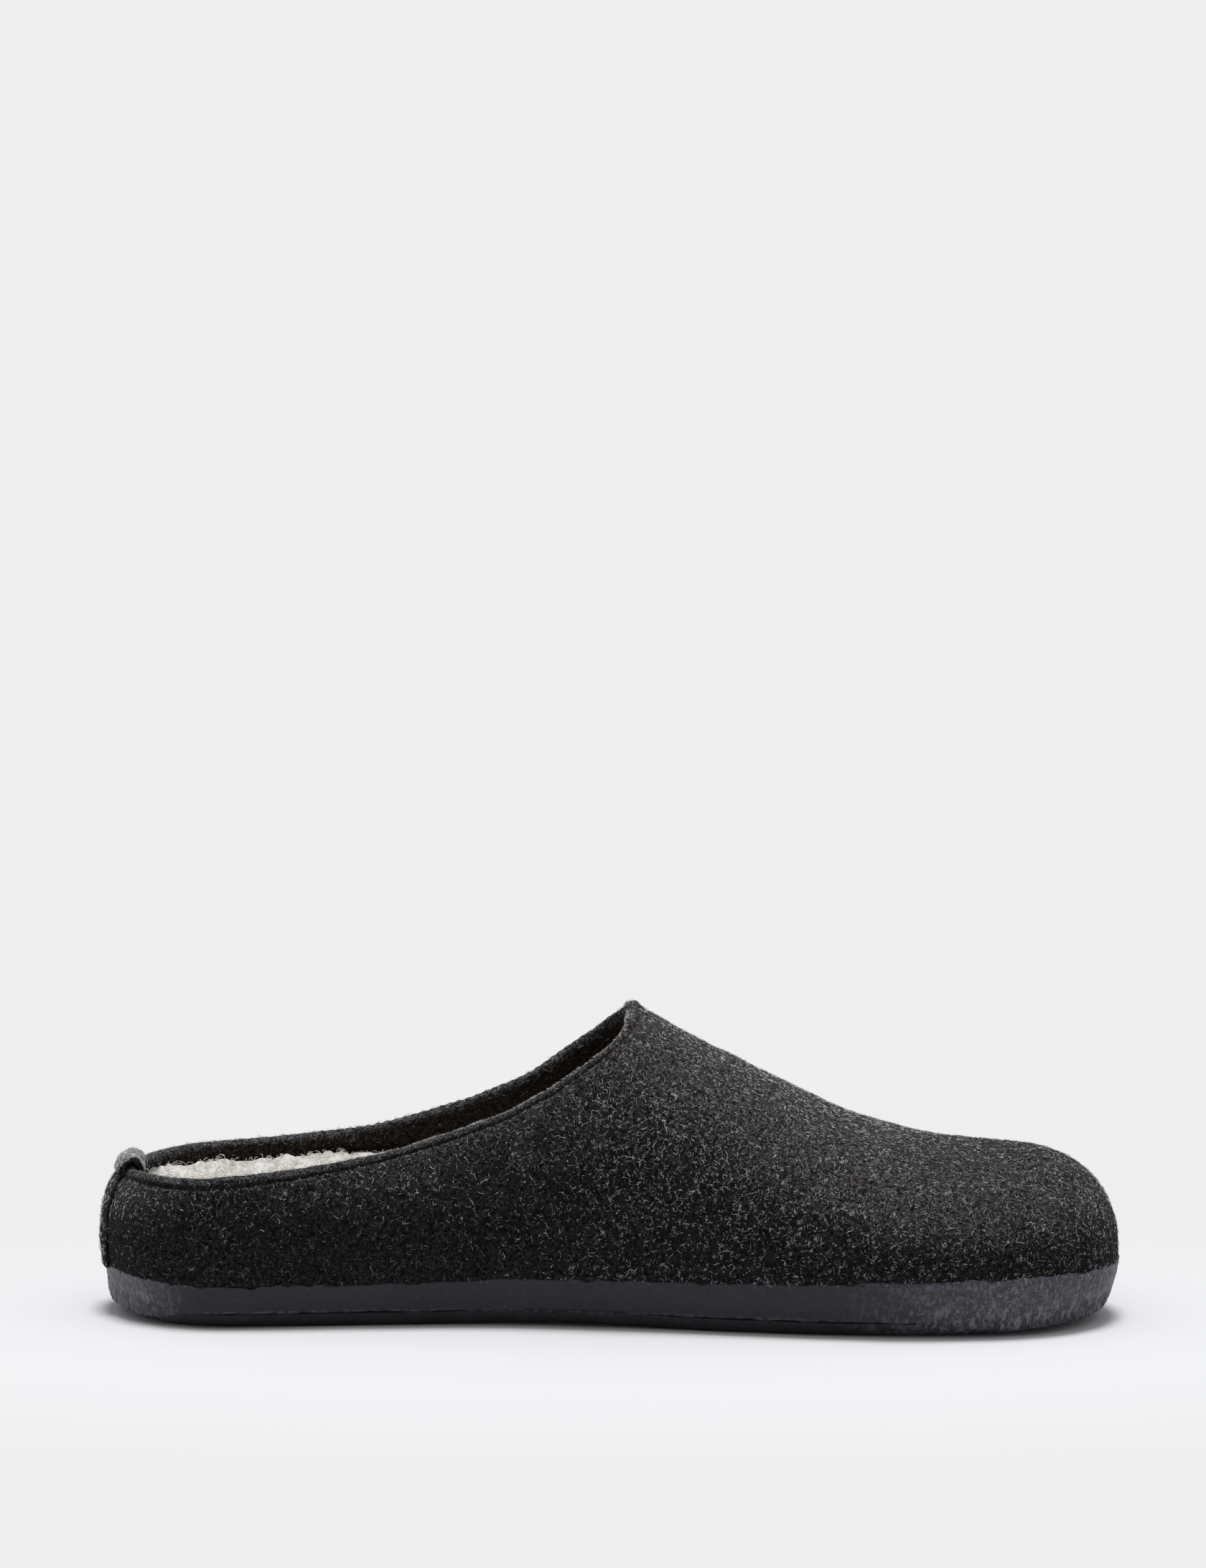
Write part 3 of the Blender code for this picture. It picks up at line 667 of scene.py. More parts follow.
felt_out = felt_material("felt_skin", (0.0076, 0.0076, 0.0078), (0.0086, 0.0090, 0.0112), (0.0090, 0.0080, 0.0070),
                         (0.32, 0.32, 0.33), 1.30, 2.15)
felt_fold = felt_material("felt_fold", (0.0086, 0.0086, 0.0092), (0.0096, 0.0100, 0.0122), (0.0092, 0.0086, 0.0080),
                          (0.34, 0.34, 0.36), 1.8, 1.3, far=0.85)
felt_in = felt_material("felt_lining", (0.0100, 0.0080, 0.0066), (0.0090, 0.0085, 0.0088), (0.0130, 0.0092, 0.0066),
                        (0.22, 0.19, 0.16), 1.9, 0.0, inner=True)
hair_side = hair_material("wool_curls", (0.13, 0.13, 0.135), (0.92, 0.92, 0.94), 0.51)
hair_top = hair_material("wool_nap", (0.10, 0.10, 0.11), (0.95, 0.95, 0.97), toe=0.90)
hair_tan = hair_material("wool_pale", (0.30, 0.275, 0.235), (0.80, 0.77, 0.71))
hair_grey = hair_material("wool_grey", (0.30, 0.30, 0.30), (0.80, 0.79, 0.78))

# ------------------------------------------------------------ camera
camera_data = bpy.data.cameras.new("camera")
camera_data.sensor_fit = "AUTO"
camera_data.sensor_width = 36.0
camera_data.lens = 36.0 * 9902.0 / 2184.0
camera_data.clip_start, camera_data.clip_end = 0.05, 1000.0
camera = bpy.data.objects.new("camera", camera_data)
elevation = math.radians(9.5)
camera.location = (-0.0014, -2.0 * math.cos(elevation), 0.040 + 2.0 * math.sin(elevation))
camera.rotation_euler = (math.pi / 2 - (elevation - math.atan(533.0 / 9902.0)), 0.0, 0.0)
bpy.context.scene.collection.objects.link(camera)
bpy.context.scene.camera = camera

# ------------------------------------------------------------ felt upper
rim_gap = rim_distance(skin)
collar = 1.0 - ease(AT, 75, 130) * 0.20


def stitch_line(at):
    """Distance of the hem's stitch groove under the end of the wall."""
    return 1.75 - 0.65 * ease(at, 30, 95)


past_groove = rim_gap - stitch_line(AT)
bead = 0.26 * np.exp(-((past_groove + 1.0) / 0.75) ** 2)
groove = -0.46 * np.exp(-(past_groove / 0.30) ** 2) - 0.12 * np.exp(-((past_groove - 0.2) / 0.9) ** 2)
top_share = ease(skin[..., 2], 14, 24)
soft = (0.50 * lumps(skin, 26, 1) + 0.26 * lumps(skin, 11, 2) + 0.14 * lumps(skin, 5, 3) + 0.07 * lumps(skin, 2.6, 4))
skin_out = skin + normals * (soft * (0.25 + 0.75 * top_share) + (bead + groove) * collar)[..., None]

shell = Shell()
step = RAND_WALL + SEAT
hidden = [flank(A_FOOT, SIDE, BAND_TOP - 4.5, step), flank(A_FOOT, SIDE, BAND_TOP - 0.9, step)]
outer = [shell.add(h) for h in hidden]
grid = shell.add(skin_out.reshape(-1, 3)).reshape(R, RING)
for c in range(OPEN, HALF):
    grid[-1, RING - c] = grid[-1, c]
outer += list(grid)
every = [0] + list(range(2, R - 16, 2)) + [R - 16, R - 13, R - 10, R - 7, R - 5, R - 3, R - 1]
lining = skin - normals * FELT
lining_soft = 0.30 * lumps(lining, 12, 8) + 0.14 * lumps(lining, 4, 9)
lining = lining - normals * (lining_soft * ease(rim_gap, 3, 9))[..., None]
lining_low = flank(A_FOOT, SIDE, BAND_TOP - 4.5, FELT)
inner_rows = [shell.add(lining_low)]
for r in every:
    row = shell.add(lining[r])
    if r == R - 1:
        for c in range(OPEN, HALF):
            row[RING - c] = row[c]
    inner_rows.append(row)
for low, high in zip(outer, outer[1:]):
    shell.band(low, high, group=0)
for low, high in zip(inner_rows, inner_rows[1:]):
    shell.band(low, high, group=1)
shell.band(inner_rows[0], outer[0], group=1)
rim_middle = rim_edge - rim_out * FELT / 2
last = outer[-1][LOOP]
roll_rows, roll_out = [], []
start_out = skin_out[-1][LOOP] - rim_edge
for turn in (18, 36, 54, 72, 90, 108, 126, 144, 162):
    w = math.radians(turn)
    away = rim_out * math.cos(w) + rim_up * math.sin(w)
    arc = rim_middle + away * (FELT / 2)
    arc = arc + start_out * max(0.0, math.cos(w)) + away * (0.22 * lumps(arc, 7, 5) + 0.12 * lumps(arc, 2.4, 6))[:, None]
    under_loop = (1 - ease(np.abs(arc[:, 1]), 3.5, 8.0)) * (1 - ease(arc[:, 0] + LENGTH / 2, 12, 20))
    rise_at = arc[:, 0] + LENGTH / 2
    far_rise = ease(rise_at, 125, 140) * (1 - ease(rise_at, 147, 149.5)) * ease(arc[:, 1], 1, 6)
    arc[:, 2] += (1.3 * under_loop + 0.6 * far_rise) * math.sin(w)
    roll_rows.append(arc)
    roll_out.append(away)
    row = shell.add(arc)
    shell.band(last, row, group=2 if turn >= 54 else 0)
    last = row
shell.band(last, inner_rows[-1][LOOP], group=1)
upper = shell.build("upper_felt", [felt_out, felt_in, felt_fold])
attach(upper, "root")
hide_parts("upper")


# ------------------------------------------------------------ hairs
def tubes(name, path, across, radius, material):
    """Closed three-sided tubes with pointed ends along many short lines; path is (hairs, points, 3)."""
    count, m = path.shape[:2]
    along = unit(np.gradient(path, axis=1))
    b = unit(np.cross(along, across))
    a = np.cross(b, along)
    a, b, middle = a[:, 1:-1], b[:, 1:-1], path[:, 1:-1]
    rings = []
    for k in range(3):
        w = 2 * math.pi * k / 3
        rings.append(middle + (a * math.cos(w) + b * math.sin(w)) * radius[:, None, None])
    rings = np.stack(rings, 2).reshape(count, 3 * (m - 2), 3)
    points = np.concatenate([path[:, :1], rings, path[:, -1:]], 1)
    size = points.shape[1]
    points = points.reshape(-1, 3)
    first = np.arange(count) * size
    base = first[:, None] + 1 + 3 * np.arange(m - 2)[None, :]
    faces, tris = [], []
    for k in range(3):
        j = (k + 1) % 3
        faces.append(np.stack([base[:, :-1] + k, base[:, :-1] + j, base[:, 1:] + j, base[:, 1:] + k], -1).reshape(-1, 4))
        tris.append(np.stack([first, base[:, 0] + j, base[:, 0] + k], -1))
        tris.append(np.stack([first + size - 1, base[:, -1] + k, base[:, -1] + j], -1))
    faces, tris = np.concatenate(faces), np.concatenate(tris)
    mesh = bpy.data.meshes.new(name)
    mesh.vertices.add(len(points))
    mesh.vertices.foreach_set("co", (points * MM).astype(np.float32).ravel())
    loops = np.concatenate([faces.ravel(), tris.ravel()])
    mesh.loops.add(len(loops))
    mesh.loops.foreach_set("vertex_index", loops.astype(np.int32))
    starts = np.concatenate([np.arange(len(faces)) * 4, len(faces) * 4 + np.arange(len(tris)) * 3])
    mesh.polygons.add(len(starts))
    mesh.polygons.foreach_set("loop_start", starts.astype(np.int32))
    mesh.update(calc_edges=True)
    mesh.shade_smooth()
    mesh.materials.append(material)
    obj = bpy.data.objects.new(name, mesh)
    bpy.context.scene.collection.objects.link(obj)
    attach(obj, "root")
    return obj


def scatter(points, faces, density, count, rng):
    """Random places on the quads: positions and outward normals."""
    centre = points[faces].mean(1)
    n = face_normals(points, faces)
    area = np.linalg.norm(n, axis=1) / 2
    n = unit(n)
    weight = area * density(centre, n)
    pick = rng.choice(len(faces), size=count, p=weight / weight.sum())
    u, v = rng.random(count)[:, None], rng.random(count)[:, None]
    q = points[faces[pick]]
    where = (q[:, 0] * (1 - u) + q[:, 1] * u) * (1 - v) + (q[:, 3] * (1 - u) + q[:, 2] * u) * v
    return where, n[pick], float((area * (weight > 0)).sum())


def curls(where, normal, length, bend, lift, ends_lift, segments, rng, flow=None, spread=1.0):
    """Centre lines of curls that lie on the surface: they turn by bend radians over their length."""
    count = len(where)
    ref = np.where(np.abs(normal[:, :1]) < 0.8, np.array([[1.0, 0, 0]]), np.array([[0, 1.0, 0]]))
    if flow is not None:
        ref = flow
    t = unit(ref - normal * np.sum(ref * normal, 1, keepdims=True))
    b = np.cross(normal, t)
    head = rng.normal(0, spread, count) if flow is not None else rng.random(count) * 2 * math.pi
    m = segments + 1
    s = np.linspace(0, 1, m)
    sign = np.where(rng.random(count) < 0.5, -1.0, 1.0)
    swing = rng.normal(0, 1, (count, 3))
    angle = (head[:, None] + sign[:, None] * bend[:, None] * (s - 0.5)[None, :]
             + swing[:, :1] * 0.7 * np.sin(2 * math.pi * s)[None, :] + swing[:, 1:2] * 0.4 * np.sin(3.1 * math.pi * s + 1.0)[None, :])
    ds = (length / segments)[:, None]
    mid = (angle[:, 1:] + angle[:, :-1]) / 2
    u = np.concatenate([np.zeros((count, 1)), np.cumsum(np.cos(mid) * ds, 1)], 1)
    v = np.concatenate([np.zeros((count, 1)), np.cumsum(np.sin(mid) * ds, 1)], 1)
    u -= u.mean(1, keepdims=True)
    v -= v.mean(1, keepdims=True)
    h = lift[:, None] * (0.35 + 0.65 * np.sin(math.pi * np.clip(s * 1.05, 0, 1)))[None, :] + ends_lift[:, None] * (s ** 2)[None, :]
    return where[:, None, :] + t[:, None, :] * u[..., None] + b[:, None, :] * v[..., None] + normal[:, None, :] * h[..., None]


def hairs(name, where, normal, length, bend, lift, ends_lift, radius, segments, material, rng, flow=None, spread=1.0):
    path = curls(where, normal, length, bend, lift, ends_lift, segments, rng, flow, spread)
    return tubes(name, path, normal[:, None, :], radius, material)


rng = np.random.default_rng(20260)
outer_points = skin_out.reshape(-1, 3)
flat_faces = skin_faces.copy()
if np.sum(face_normals(outer_points, flat_faces) * (outer_points[flat_faces].mean(1) - outer_points.mean(0))) < 0:
    flat_faces = flat_faces[:, ::-1]


def hem_bare(c):
    """Fewer curls on the hem and in its groove."""
    return 0.25 + 0.75 * ease(rim_distance(c) - stitch_line(c[:, 0] + LENGTH / 2), 0.15, 0.6)


def side_density(c, n):
    up = ease(n[:, 2], 0.20, 0.75)
    front = ease(c[:, 0], -35, 10) * (1 - 0.8 * ease(c[:, 0], 65, 105))
    clump = 0.82 + 0.40 * lumps(c, 7, 21) + 0.35 * lumps(c, 2.8, 22) + 1.05 * front
    near = 0.62 + 0.38 * (n[:, 1] < 0)
    high = 0.70 + 0.50 * ease(c[:, 2], 20, 44)
    toe_foot = 1 + 1.2 * ease(c[:, 0], 72, 105) * (1 - ease(c[:, 2], 30, 42))
    return np.clip(clump, 0.08, 3) * (1 - 0.8 * up) * near * high * toe_foot * hem_bare(c)


# light nap curls gather where the felt faces up: partly the felt's own nap, partly painted top light
def top_density(c, n):
    up = ease(n[:, 2], 0.02, 0.58)
    clump = 0.85 + 0.35 * lumps(c, 6, 23) + 0.35 * lumps(c, 2.5, 24)
    near = 0.70 + 0.30 * (n[:, 1] < 0.1)
    return np.clip(clump, 0.08, 3) * (0.02 + up) * near * hem_bare(c)


SIDE_HAIRS, TOP_HAIRS = 4600, 4800
for part in range(2):
    where, normal, area = scatter(outer_points, flat_faces, side_density, SIDE_HAIRS, rng)
    long = rng.random(SIDE_HAIRS) ** 2
    hairs(f"wool_curls_{part + 1}", where, normal, 0.9 + 2.1 * long, rng.uniform(0.6, 5.6, SIDE_HAIRS),
          rng.uniform(0.04, 0.30, SIDE_HAIRS), rng.uniform(-0.1, 0.2, SIDE_HAIRS), rng.uniform(0.026, 0.048, SIDE_HAIRS),
          6, hair_side, rng)
for part in range(2):
    where, normal, area = scatter(outer_points, flat_faces, top_density, TOP_HAIRS, rng)
    long = rng.random(TOP_HAIRS) ** 2
    hairs(f"wool_nap_{part + 1}", where, normal, 0.8 + 1.7 * long, rng.uniform(0.3, 4.6, TOP_HAIRS),
          rng.uniform(0.04, 0.26, TOP_HAIRS), rng.uniform(-0.05, 0.2, TOP_HAIRS), rng.uniform(0.038, 0.066, TOP_HAIRS),
          5, hair_top, rng)

# stray hairs that stand off the collar
roll_points = np.concatenate([r for r in roll_rows])
roll_normal = np.concatenate([r for r in roll_out])
tangent = unit(np.tile(rim_along, (len(roll_rows), 1)))
COLLAR_HAIRS = 1700
weight = 1.0 - (0.50 * (roll_points[:, 1] > 0) + 0.25) * ease(roll_points[:, 0] + LENGTH / 2, 50, 120)
pick = rng.choice(len(roll_points), size=COLLAR_HAIRS, p=weight / weight.sum())
where = roll_points[pick] + tangent[pick] * rng.uniform(-0.7, 0.7, (COLLAR_HAIRS, 1)) + roll_normal[pick] * rng.normal(0, 0.08, (COLLAR_HAIRS, 1))
hairs("wool_collar", where, roll_normal[pick], rng.uniform(0.9, 3.0, COLLAR_HAIRS), rng.uniform(0.4, 3.6, COLLAR_HAIRS),
      rng.uniform(0.0, 0.25, COLLAR_HAIRS), rng.uniform(-0.2, 0.8, COLLAR_HAIRS) * (rng.random(COLLAR_HAIRS) < 0.5),
      rng.uniform(0.030, 0.052, COLLAR_HAIRS),
      5, hair_side, rng)
# pale fibres along the inner edge of the inner side's collar, up to the throat
FRINGE = 1400
edge_count = len(LOOP)
inner_edge = np.arange(3 * edge_count, 6 * edge_count)
along = roll_points[inner_edge][:, 0] + LENGTH / 2
weight = ease(along, 60, 100) * (roll_points[inner_edge][:, 1] < -2) * (1 - 0.65 * ease(along, 136, 147)) + 0.02
weight = weight * (0.25 + np.clip(0.6 + lumps(roll_points[inner_edge], 4, 27), 0, 2))
pick = inner_edge[rng.choice(len(inner_edge), size=FRINGE, p=weight / weight.sum())]
where = roll_points[pick] + tangent[pick] * rng.uniform(-0.8, 0.8, (FRINGE, 1)) + roll_normal[pick] * rng.normal(0, 0.06, (FRINGE, 1))
hairs("wool_fringe", where, roll_normal[pick], rng.uniform(0.6, 2.0, FRINGE), rng.uniform(0.2, 2.4, FRINGE),
      rng.uniform(0.0, 0.22, FRINGE), rng.uniform(-0.1, 0.6, FRINGE), rng.uniform(0.034, 0.058, FRINGE),
      4, hair_tan, rng, flow=tangent[pick], spread=0.7)

# a few curls on the lining
lining_points = lining.reshape(-1, 3)
lining_faces = flat_faces[:, ::-1]


def lining_density(c, n):
    return (c[:, 2] > 34) * (1 - 0.85 * ease(c[:, 0], -90, -30)) * (c[:, 0] < 2) * (0.3 + np.clip(lumps(c, 9, 25), 0, 1) * 2)


LINING_HAIRS = 640
where, normal, area = scatter(lining_points, lining_faces, lining_density, LINING_HAIRS, rng)
hairs("wool_lining", where, normal, rng.uniform(0.9, 3.0, LINING_HAIRS), rng.uniform(0.6, 5.0, LINING_HAIRS),
      rng.uniform(0.05, 0.4, LINING_HAIRS), rng.uniform(-0.1, 0.4, LINING_HAIRS), rng.uniform(0.032, 0.055, LINING_HAIRS),
      5, hair_side, rng)

# ------------------------------------------------------------ dipped rubber rand
RAND_HALF = 600


def ends(at):
    """1 at the toe and the heel, where the rubber shows the felt's ribs, 0 between."""
    return np.maximum(ease(at, 222, 262), 1 - ease(at, 8, 30))


def outline_ring(half_count, finer=0.0):
    """Angles and sides of a ring of columns round the outline, closer by this share at the ends."""
    whole = np.linspace(0, math.pi, 6000)
    step = np.r_[0, np.linalg.norm(np.diff(plan_point(whole, 1.0), axis=0), axis=1)]
    run = np.cumsum(step * (1 + finer * ends(station(whole))))
    angle = np.interp(np.linspace(0, run[-1], half_count + 1), run, whole)
    return ring_of(angle), np.r_[np.ones(half_count + 1), -np.ones(half_count - 1)]


def outline_run(a, side):
    """Distance round the outline, in millimetres, for each column."""
    whole = np.linspace(0, math.pi, 6000)
    run = np.r_[0, np.cumsum(np.linalg.norm(np.diff(plan_point(whole, 1.0), axis=0), axis=1))]
    return np.where(side > 0, np.interp(a, whole, run), -np.interp(a, whole, run))


def ribs_at(a, side, z):
    """Uneven upright ribs of the knit under the rubber, from -1 to 1."""
    run = outline_run(a, side)
    flat = np.stack([run, np.full_like(run, 3.0), np.full_like(run, 0.35) * z], -1)
    pitch = np.where(station(a) < LENGTH / 2, 2.3, 1.55)
    wave = np.sin(2 * math.pi * (run / pitch + 0.12 * z) + 2.2 * lumps(flat, 5.0, 38))
    strength = 0.55 + 0.45 * lumps(flat * np.array([1, 1, 2]), 3.0, 39)
    return wave * strength


def on_ground(p, height):
    q = p.copy()
    q[..., 2] = height + ground(p[..., 0] + LENGTH / 2, p[..., 1])
    return q


def sole_ring(a, side, height, inset):
    z = height + ground(station(a))
    return on_ground(flank(a, side, z, inset), height)


def rubber_over_felt(n, shader, mid_low, mid_high, rough_mid):
    """Matte rubber, smooth along the sides; at the toe and heel the felt under it shows through. The colour also holds
    painted light: lighter toe and heel ends, darker towards the floor, highlights over the ribs and along the lower
    lip.
    """
    x = n.position(0)
    toe = n.ramp(x, 0.056, 0.118)
    heel = n.ramp(x, -0.112, -0.138)
    both = n.math("MAXIMUM", toe, heel)
    cloud = n.noise(16.0, 2.0, 0.3)
    base = n.mix(n.ramp(cloud, 0.3, 0.7), (*mid_low, 1), (*mid_high, 1))
    shaded = n.add("ShaderNodeVectorMath", operation="SCALE")
    n.link(base, shaded.inputs[0])
    mottle = n.ramp(n.noise(1.5, 2.0, 0.5, (0.7, 0.2, 0.5)), 0.36, 0.64, 0.84, 1.16)
    # painted shade: the rubber darkens towards the floor
    n.link(n.math("MULTIPLY", mottle, n.ramp(n.position(2), 0.0045, 0.0135, 0.84, 1.14)), shaded.inputs["Scale"])
    # lighter at the toe and heel ends, and more so at the very back of the heel: partly the felt showing through,
    # partly painted light from the sides
    base = n.mix(n.math("MULTIPLY", both, 0.85), shaded.outputs[0], (0.0385, 0.0390, 0.0510, 1))
    knit = n.noise(0.95, 2.0, 0.7, (0.6, 0.1, 0.2), (1.0, 1.0, 0.62))
    base = n.mix(n.math("MULTIPLY", n.ramp(x, -0.120, -0.141), 0.75), base, (0.100, 0.100, 0.110, 1))
    fleck = n.math("MULTIPLY", n.ramp(knit, 0.52, 0.62), both)
    base = n.mix(n.math("MULTIPLY", fleck, 0.80), base, (0.140, 0.144, 0.170, 1))
    speck = n.ramp(n.noise(0.9, 0.0, 0.0, (0.9, 0.3, 0.1)), 0.76, 0.80)
    base = n.mix(n.math("MULTIPLY", speck, 0.20), base, (0.10, 0.10, 0.105, 1))
    broken = n.ramp(n.noise(2.6, 1.0, 0.4, (0.2, 0.6, 0.9)), 0.46, 0.58)
    # painted highlight: a broken light line along the rubber's lower lip
    lip = n.ramp(n.math("ABSOLUTE", n.math("SUBTRACT", n.position(2), 0.00475)), 0.0, 0.0006, 1.0, 0.0)
    lip = n.math("MULTIPLY", n.math("MULTIPLY", lip, broken), n.math("SUBTRACT", 1.0, both))
    base = n.mix(n.math("MULTIPLY", lip, 0.8), base, (0.060, 0.060, 0.072, 1))
    # upright streaks and marks over the ribs at the toe and heel: partly the knit's own texture, partly painted
    # highlights where the ribs would catch the light
    streak = n.noise(1.5, 2.0, 0.4, (0.3, 0.3, 0.3), (0.42, 0.42, 1.3))
    streak = n.math("MULTIPLY", n.ramp(streak, 0.48, 0.66), both)
    base = n.mix(n.math("MULTIPLY", streak, 0.45), base, (0.105, 0.108, 0.130, 1))
    rib_highlight = n.ramp(n.noise(1.5, 1.0, 0.2, (0.8, 0.4, 0.2), (1.0, 1.0, 0.20)), 0.52, 0.64)
    rib_highlight = n.math("MULTIPLY", n.math("MULTIPLY", rib_highlight, n.ramp(n.position(2), 0.0115, 0.0070)), both)
    base = n.mix(n.math("MULTIPLY", rib_highlight, 0.70), base, (0.200, 0.204, 0.230, 1))
    n.link(base, shader.inputs["Base Color"])
    n.link(n.math("SUBTRACT", rough_mid, n.math("MULTIPLY", both, 0.14)), shader.inputs["Roughness"])
    small = n.math("MULTIPLY", knit, n.math("ADD", 0.70, n.math("MULTIPLY", both, 1.7)))
    height = n.math("ADD", small, n.math("MULTIPLY", n.noise(3.2, 2.0), 0.45))
    n.link(n.bump(height, 0.8, 0.40), shader.inputs["Normal"])


def rand_material():
    material, shader, n = new_material("dipped_rubber", 0.55, 0.40)
    rubber_over_felt(n, shader, (0.0083, 0.0078, 0.0131), (0.0116, 0.0110, 0.0178), 0.56)
    return material


def outsole_material():
    material, shader, n = new_material("sole_rubber", 0.72, 0.30)
    rubber_over_felt(n, shader, (0.0115, 0.0110, 0.0145), (0.0172, 0.0166, 0.0214), 0.66)
    return material


a_rand, s_rand = outline_ring(RAND_HALF, 2.6)
at_rand = station(a_rand)
ring3 = np.concatenate([plan_point(a_rand, s_rand), np.zeros((len(a_rand), 1))], 1)
top_line = smooth(BAND, "height", at_rand) + 0.30 * lumps(ring3, 9, 31) + 0.24 * lumps(ring3, 3.2, 32) + 0.34 * lumps(ring3, 1.5, 33)
low_line = FLOOR_LOW + ground(at_rand)
ends_mask = ends(at_rand)
shell = Shell()
rows = []
out_n = plan_normal(a_rand, s_rand)
out3 = np.concatenate([out_n, np.zeros((len(out_n), 1))], 1)
lip = 0.30 * lumps(ring3, 4.2, 43) + 0.14 * lumps(ring3, 1.9, 44)
skirt = 0.35 + 2.9 * ends_mask
foot_line = low_line - skirt
profile = [(0.0, -0.15), (0.015, 0.08), (0.04, 0.26), (0.08, 0.32), (0.12, 0.16)]
profile += [(s, 0.12) for s in np.linspace(0.16, 0.93, 15)] + [(0.96, 0.20), (0.985, 0.22), (1.0, 0.10), (1.012, -0.22)]
for share, proud in profile:
    z = foot_line + (top_line - foot_line) * share
    z = z + lip * (1 - ends_mask) * (1 - ease(share, 0.05, 0.25))
    p = flank(a_rand, s_rand, z)
    wave = (0.16 * lumps(p, 7, 35) + 0.08 * lumps(p, 2.4, 36)) * min(1.0, share * 8)
    over = z - ground(at_rand)
    pleat = 0.52 * ribs_at(a_rand, s_rand, over) * ends_mask * (1 - ease(over, 4.5, 8.5))
    pebble = 0.20 * lumps(p, 0.95, 45) * ends_mask
    rows.append(shell.add(p + out3 * (proud + wave + pleat + pebble)[:, None]))
for z, inset in ((top_line - 0.2, RAND_WALL), ((FLOOR_TOP + top_line) / 2, RAND_WALL)):
    rows.append(shell.add(flank(a_rand, s_rand, z, inset)))
rows.append(shell.add(sole_ring(a_rand, s_rand, FLOOR_TOP, RAND_WALL)))
for low, high in zip(rows, rows[1:]):
    shell.band(low, high)
inner_foot = [shell.add(flank(a_rand, s_rand, low_line, 1.2)), shell.add(flank(a_rand, s_rand, low_line, 0.75)),
              shell.add(flank(a_rand, s_rand, foot_line + 0.1, 0.62))]
rows = inner_foot + rows
for low, high in zip(rows[:3], rows[1:4]):
    shell.band(low, high)
shell.plate(rows[-1], lambda p, k: on_ground(p, FLOOR_TOP)[..., 2], 6)
shell.plate(rows[0], lambda p, k: on_ground(p, FLOOR_LOW)[..., 2], 6)
rand = shell.build("rand_rubber", [rand_material()], 60)
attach(rand, "root")
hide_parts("rand")

# ------------------------------------------------------------ outsole
a_sole, s_sole = outline_ring(480, 2.0)
ring3 = np.concatenate([plan_point(a_sole, s_sole), np.zeros((len(a_sole), 1))], 1)
out_n = plan_normal(a_sole, s_sole)
out3 = np.concatenate([out_n, np.zeros((len(out_n), 1))], 1)
wave = 0.26 * lumps(ring3, 6, 41) + 0.16 * lumps(ring3, 2.6, 42)
shell = Shell()
# height, inset at the toe and heel, inset along the waist
EDGE_ROWS = [(4.25, 1.0, 1.0), (4.2, 0.5, 0.5), (4.0, 0.18, 0.18), (3.4, 0.20, 0.18), (2.6, 0.30, 0.20), (1.9, 0.70, 0.32),
             (1.2, 1.5, 0.60), (0.7, 2.5, 1.0), (0.3, 3.9, 1.7), (0.0, 6.5, 2.8)]
sole_ends = ends(station(a_sole))
rolled = np.maximum(1 - ease(station(a_sole), 24, 70), ease(station(a_sole), 180, 250))
rows = []
for height, round_inset, waist_inset in EDGE_ROWS:
    inset = waist_inset + (round_inset - waist_inset) * rolled
    p = sole_ring(a_sole, s_sole, height, inset + 0.85 * sole_ends * (height > 1.0))
    soft_edge = math.sin(math.pi * min(1.0, (4.3 - height) / 3.4)) if height > 0.9 else 0.0
    rows.append(shell.add(p + out3 * (wave * soft_edge * (1 - sole_ends))[:, None]))
for low, high in zip(rows, rows[1:]):
    shell.band(low, high)
shell.plate(rows[0], lambda p, k: on_ground(p, TREAD_TOP)[..., 2], 6)
shell.plate(rows[-1], lambda p, k: on_ground(p, 0.0)[..., 2], 8)
outsole = shell.build("outsole_rubber", [outsole_material()], 50)
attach(outsole, "root")
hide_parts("outsole")


# ------------------------------------------------------------ fleece footbed
def fleece_material():
    material, shader, n = new_material("fleece", 1.0, 0.05, 0.25, 0.5, (1.0, 0.97, 0.92))
    cloud = n.noise(6.0, 3.0, 0.6)
    base = n.mix(n.ramp(cloud, 0.3, 0.7), (0.74, 0.70, 0.64, 1), (0.90, 0.885, 0.86, 1))
    n.link(base, shader.inputs["Base Color"])
    curl = n.noise(1.1, 3.0, 1.2)
    n.link(n.bump(curl, 0.9, 0.7), shader.inputs["Normal"])
    return material


def strand_material():
    material, shader, n = new_material("fleece_strands", 0.85, 0.15, 0.2, 0.5, (1.0, 0.97, 0.92))
    base = n.mix(n.ramp(n.noise(3.0, 2.0), 0.3, 0.7), (0.76, 0.73, 0.68, 1), (0.93, 0.92, 0.90, 1))
    n.link(base, shader.inputs["Base Color"])
    n.link(n.bump(n.noise(0.4, 1.0), 0.4, 0.05), shader.inputs["Normal"])
    return material


bed_wall = skin - normals * (FELT + 0.35)
bed_wall = np.concatenate([flank(A_FOOT, SIDE, FLOOR_TOP + SEAT + ground(station(A_FOOT)), FELT + 0.35)[None], bed_wall])
bed_edge = smooth(BED, "edge", station(A_FOOT)) - 0.8


def bed_ring(share, inset=0.0):
    pts = np.empty((RING, 3))
    for c in range(RING):
        line = bed_wall[:, c]
        stop = int(np.argmax(line[:, 2])) + 1
        z = line[0, 2] + (bed_edge[c] - line[0, 2]) * share
        pts[c] = (np.interp(z, line[:stop, 2], line[:stop, 0]), np.interp(z, line[:stop, 2], line[:stop, 1]), z)
    pts[:, :2] -= plan_normal(A_FOOT, SIDE) * inset
    return pts


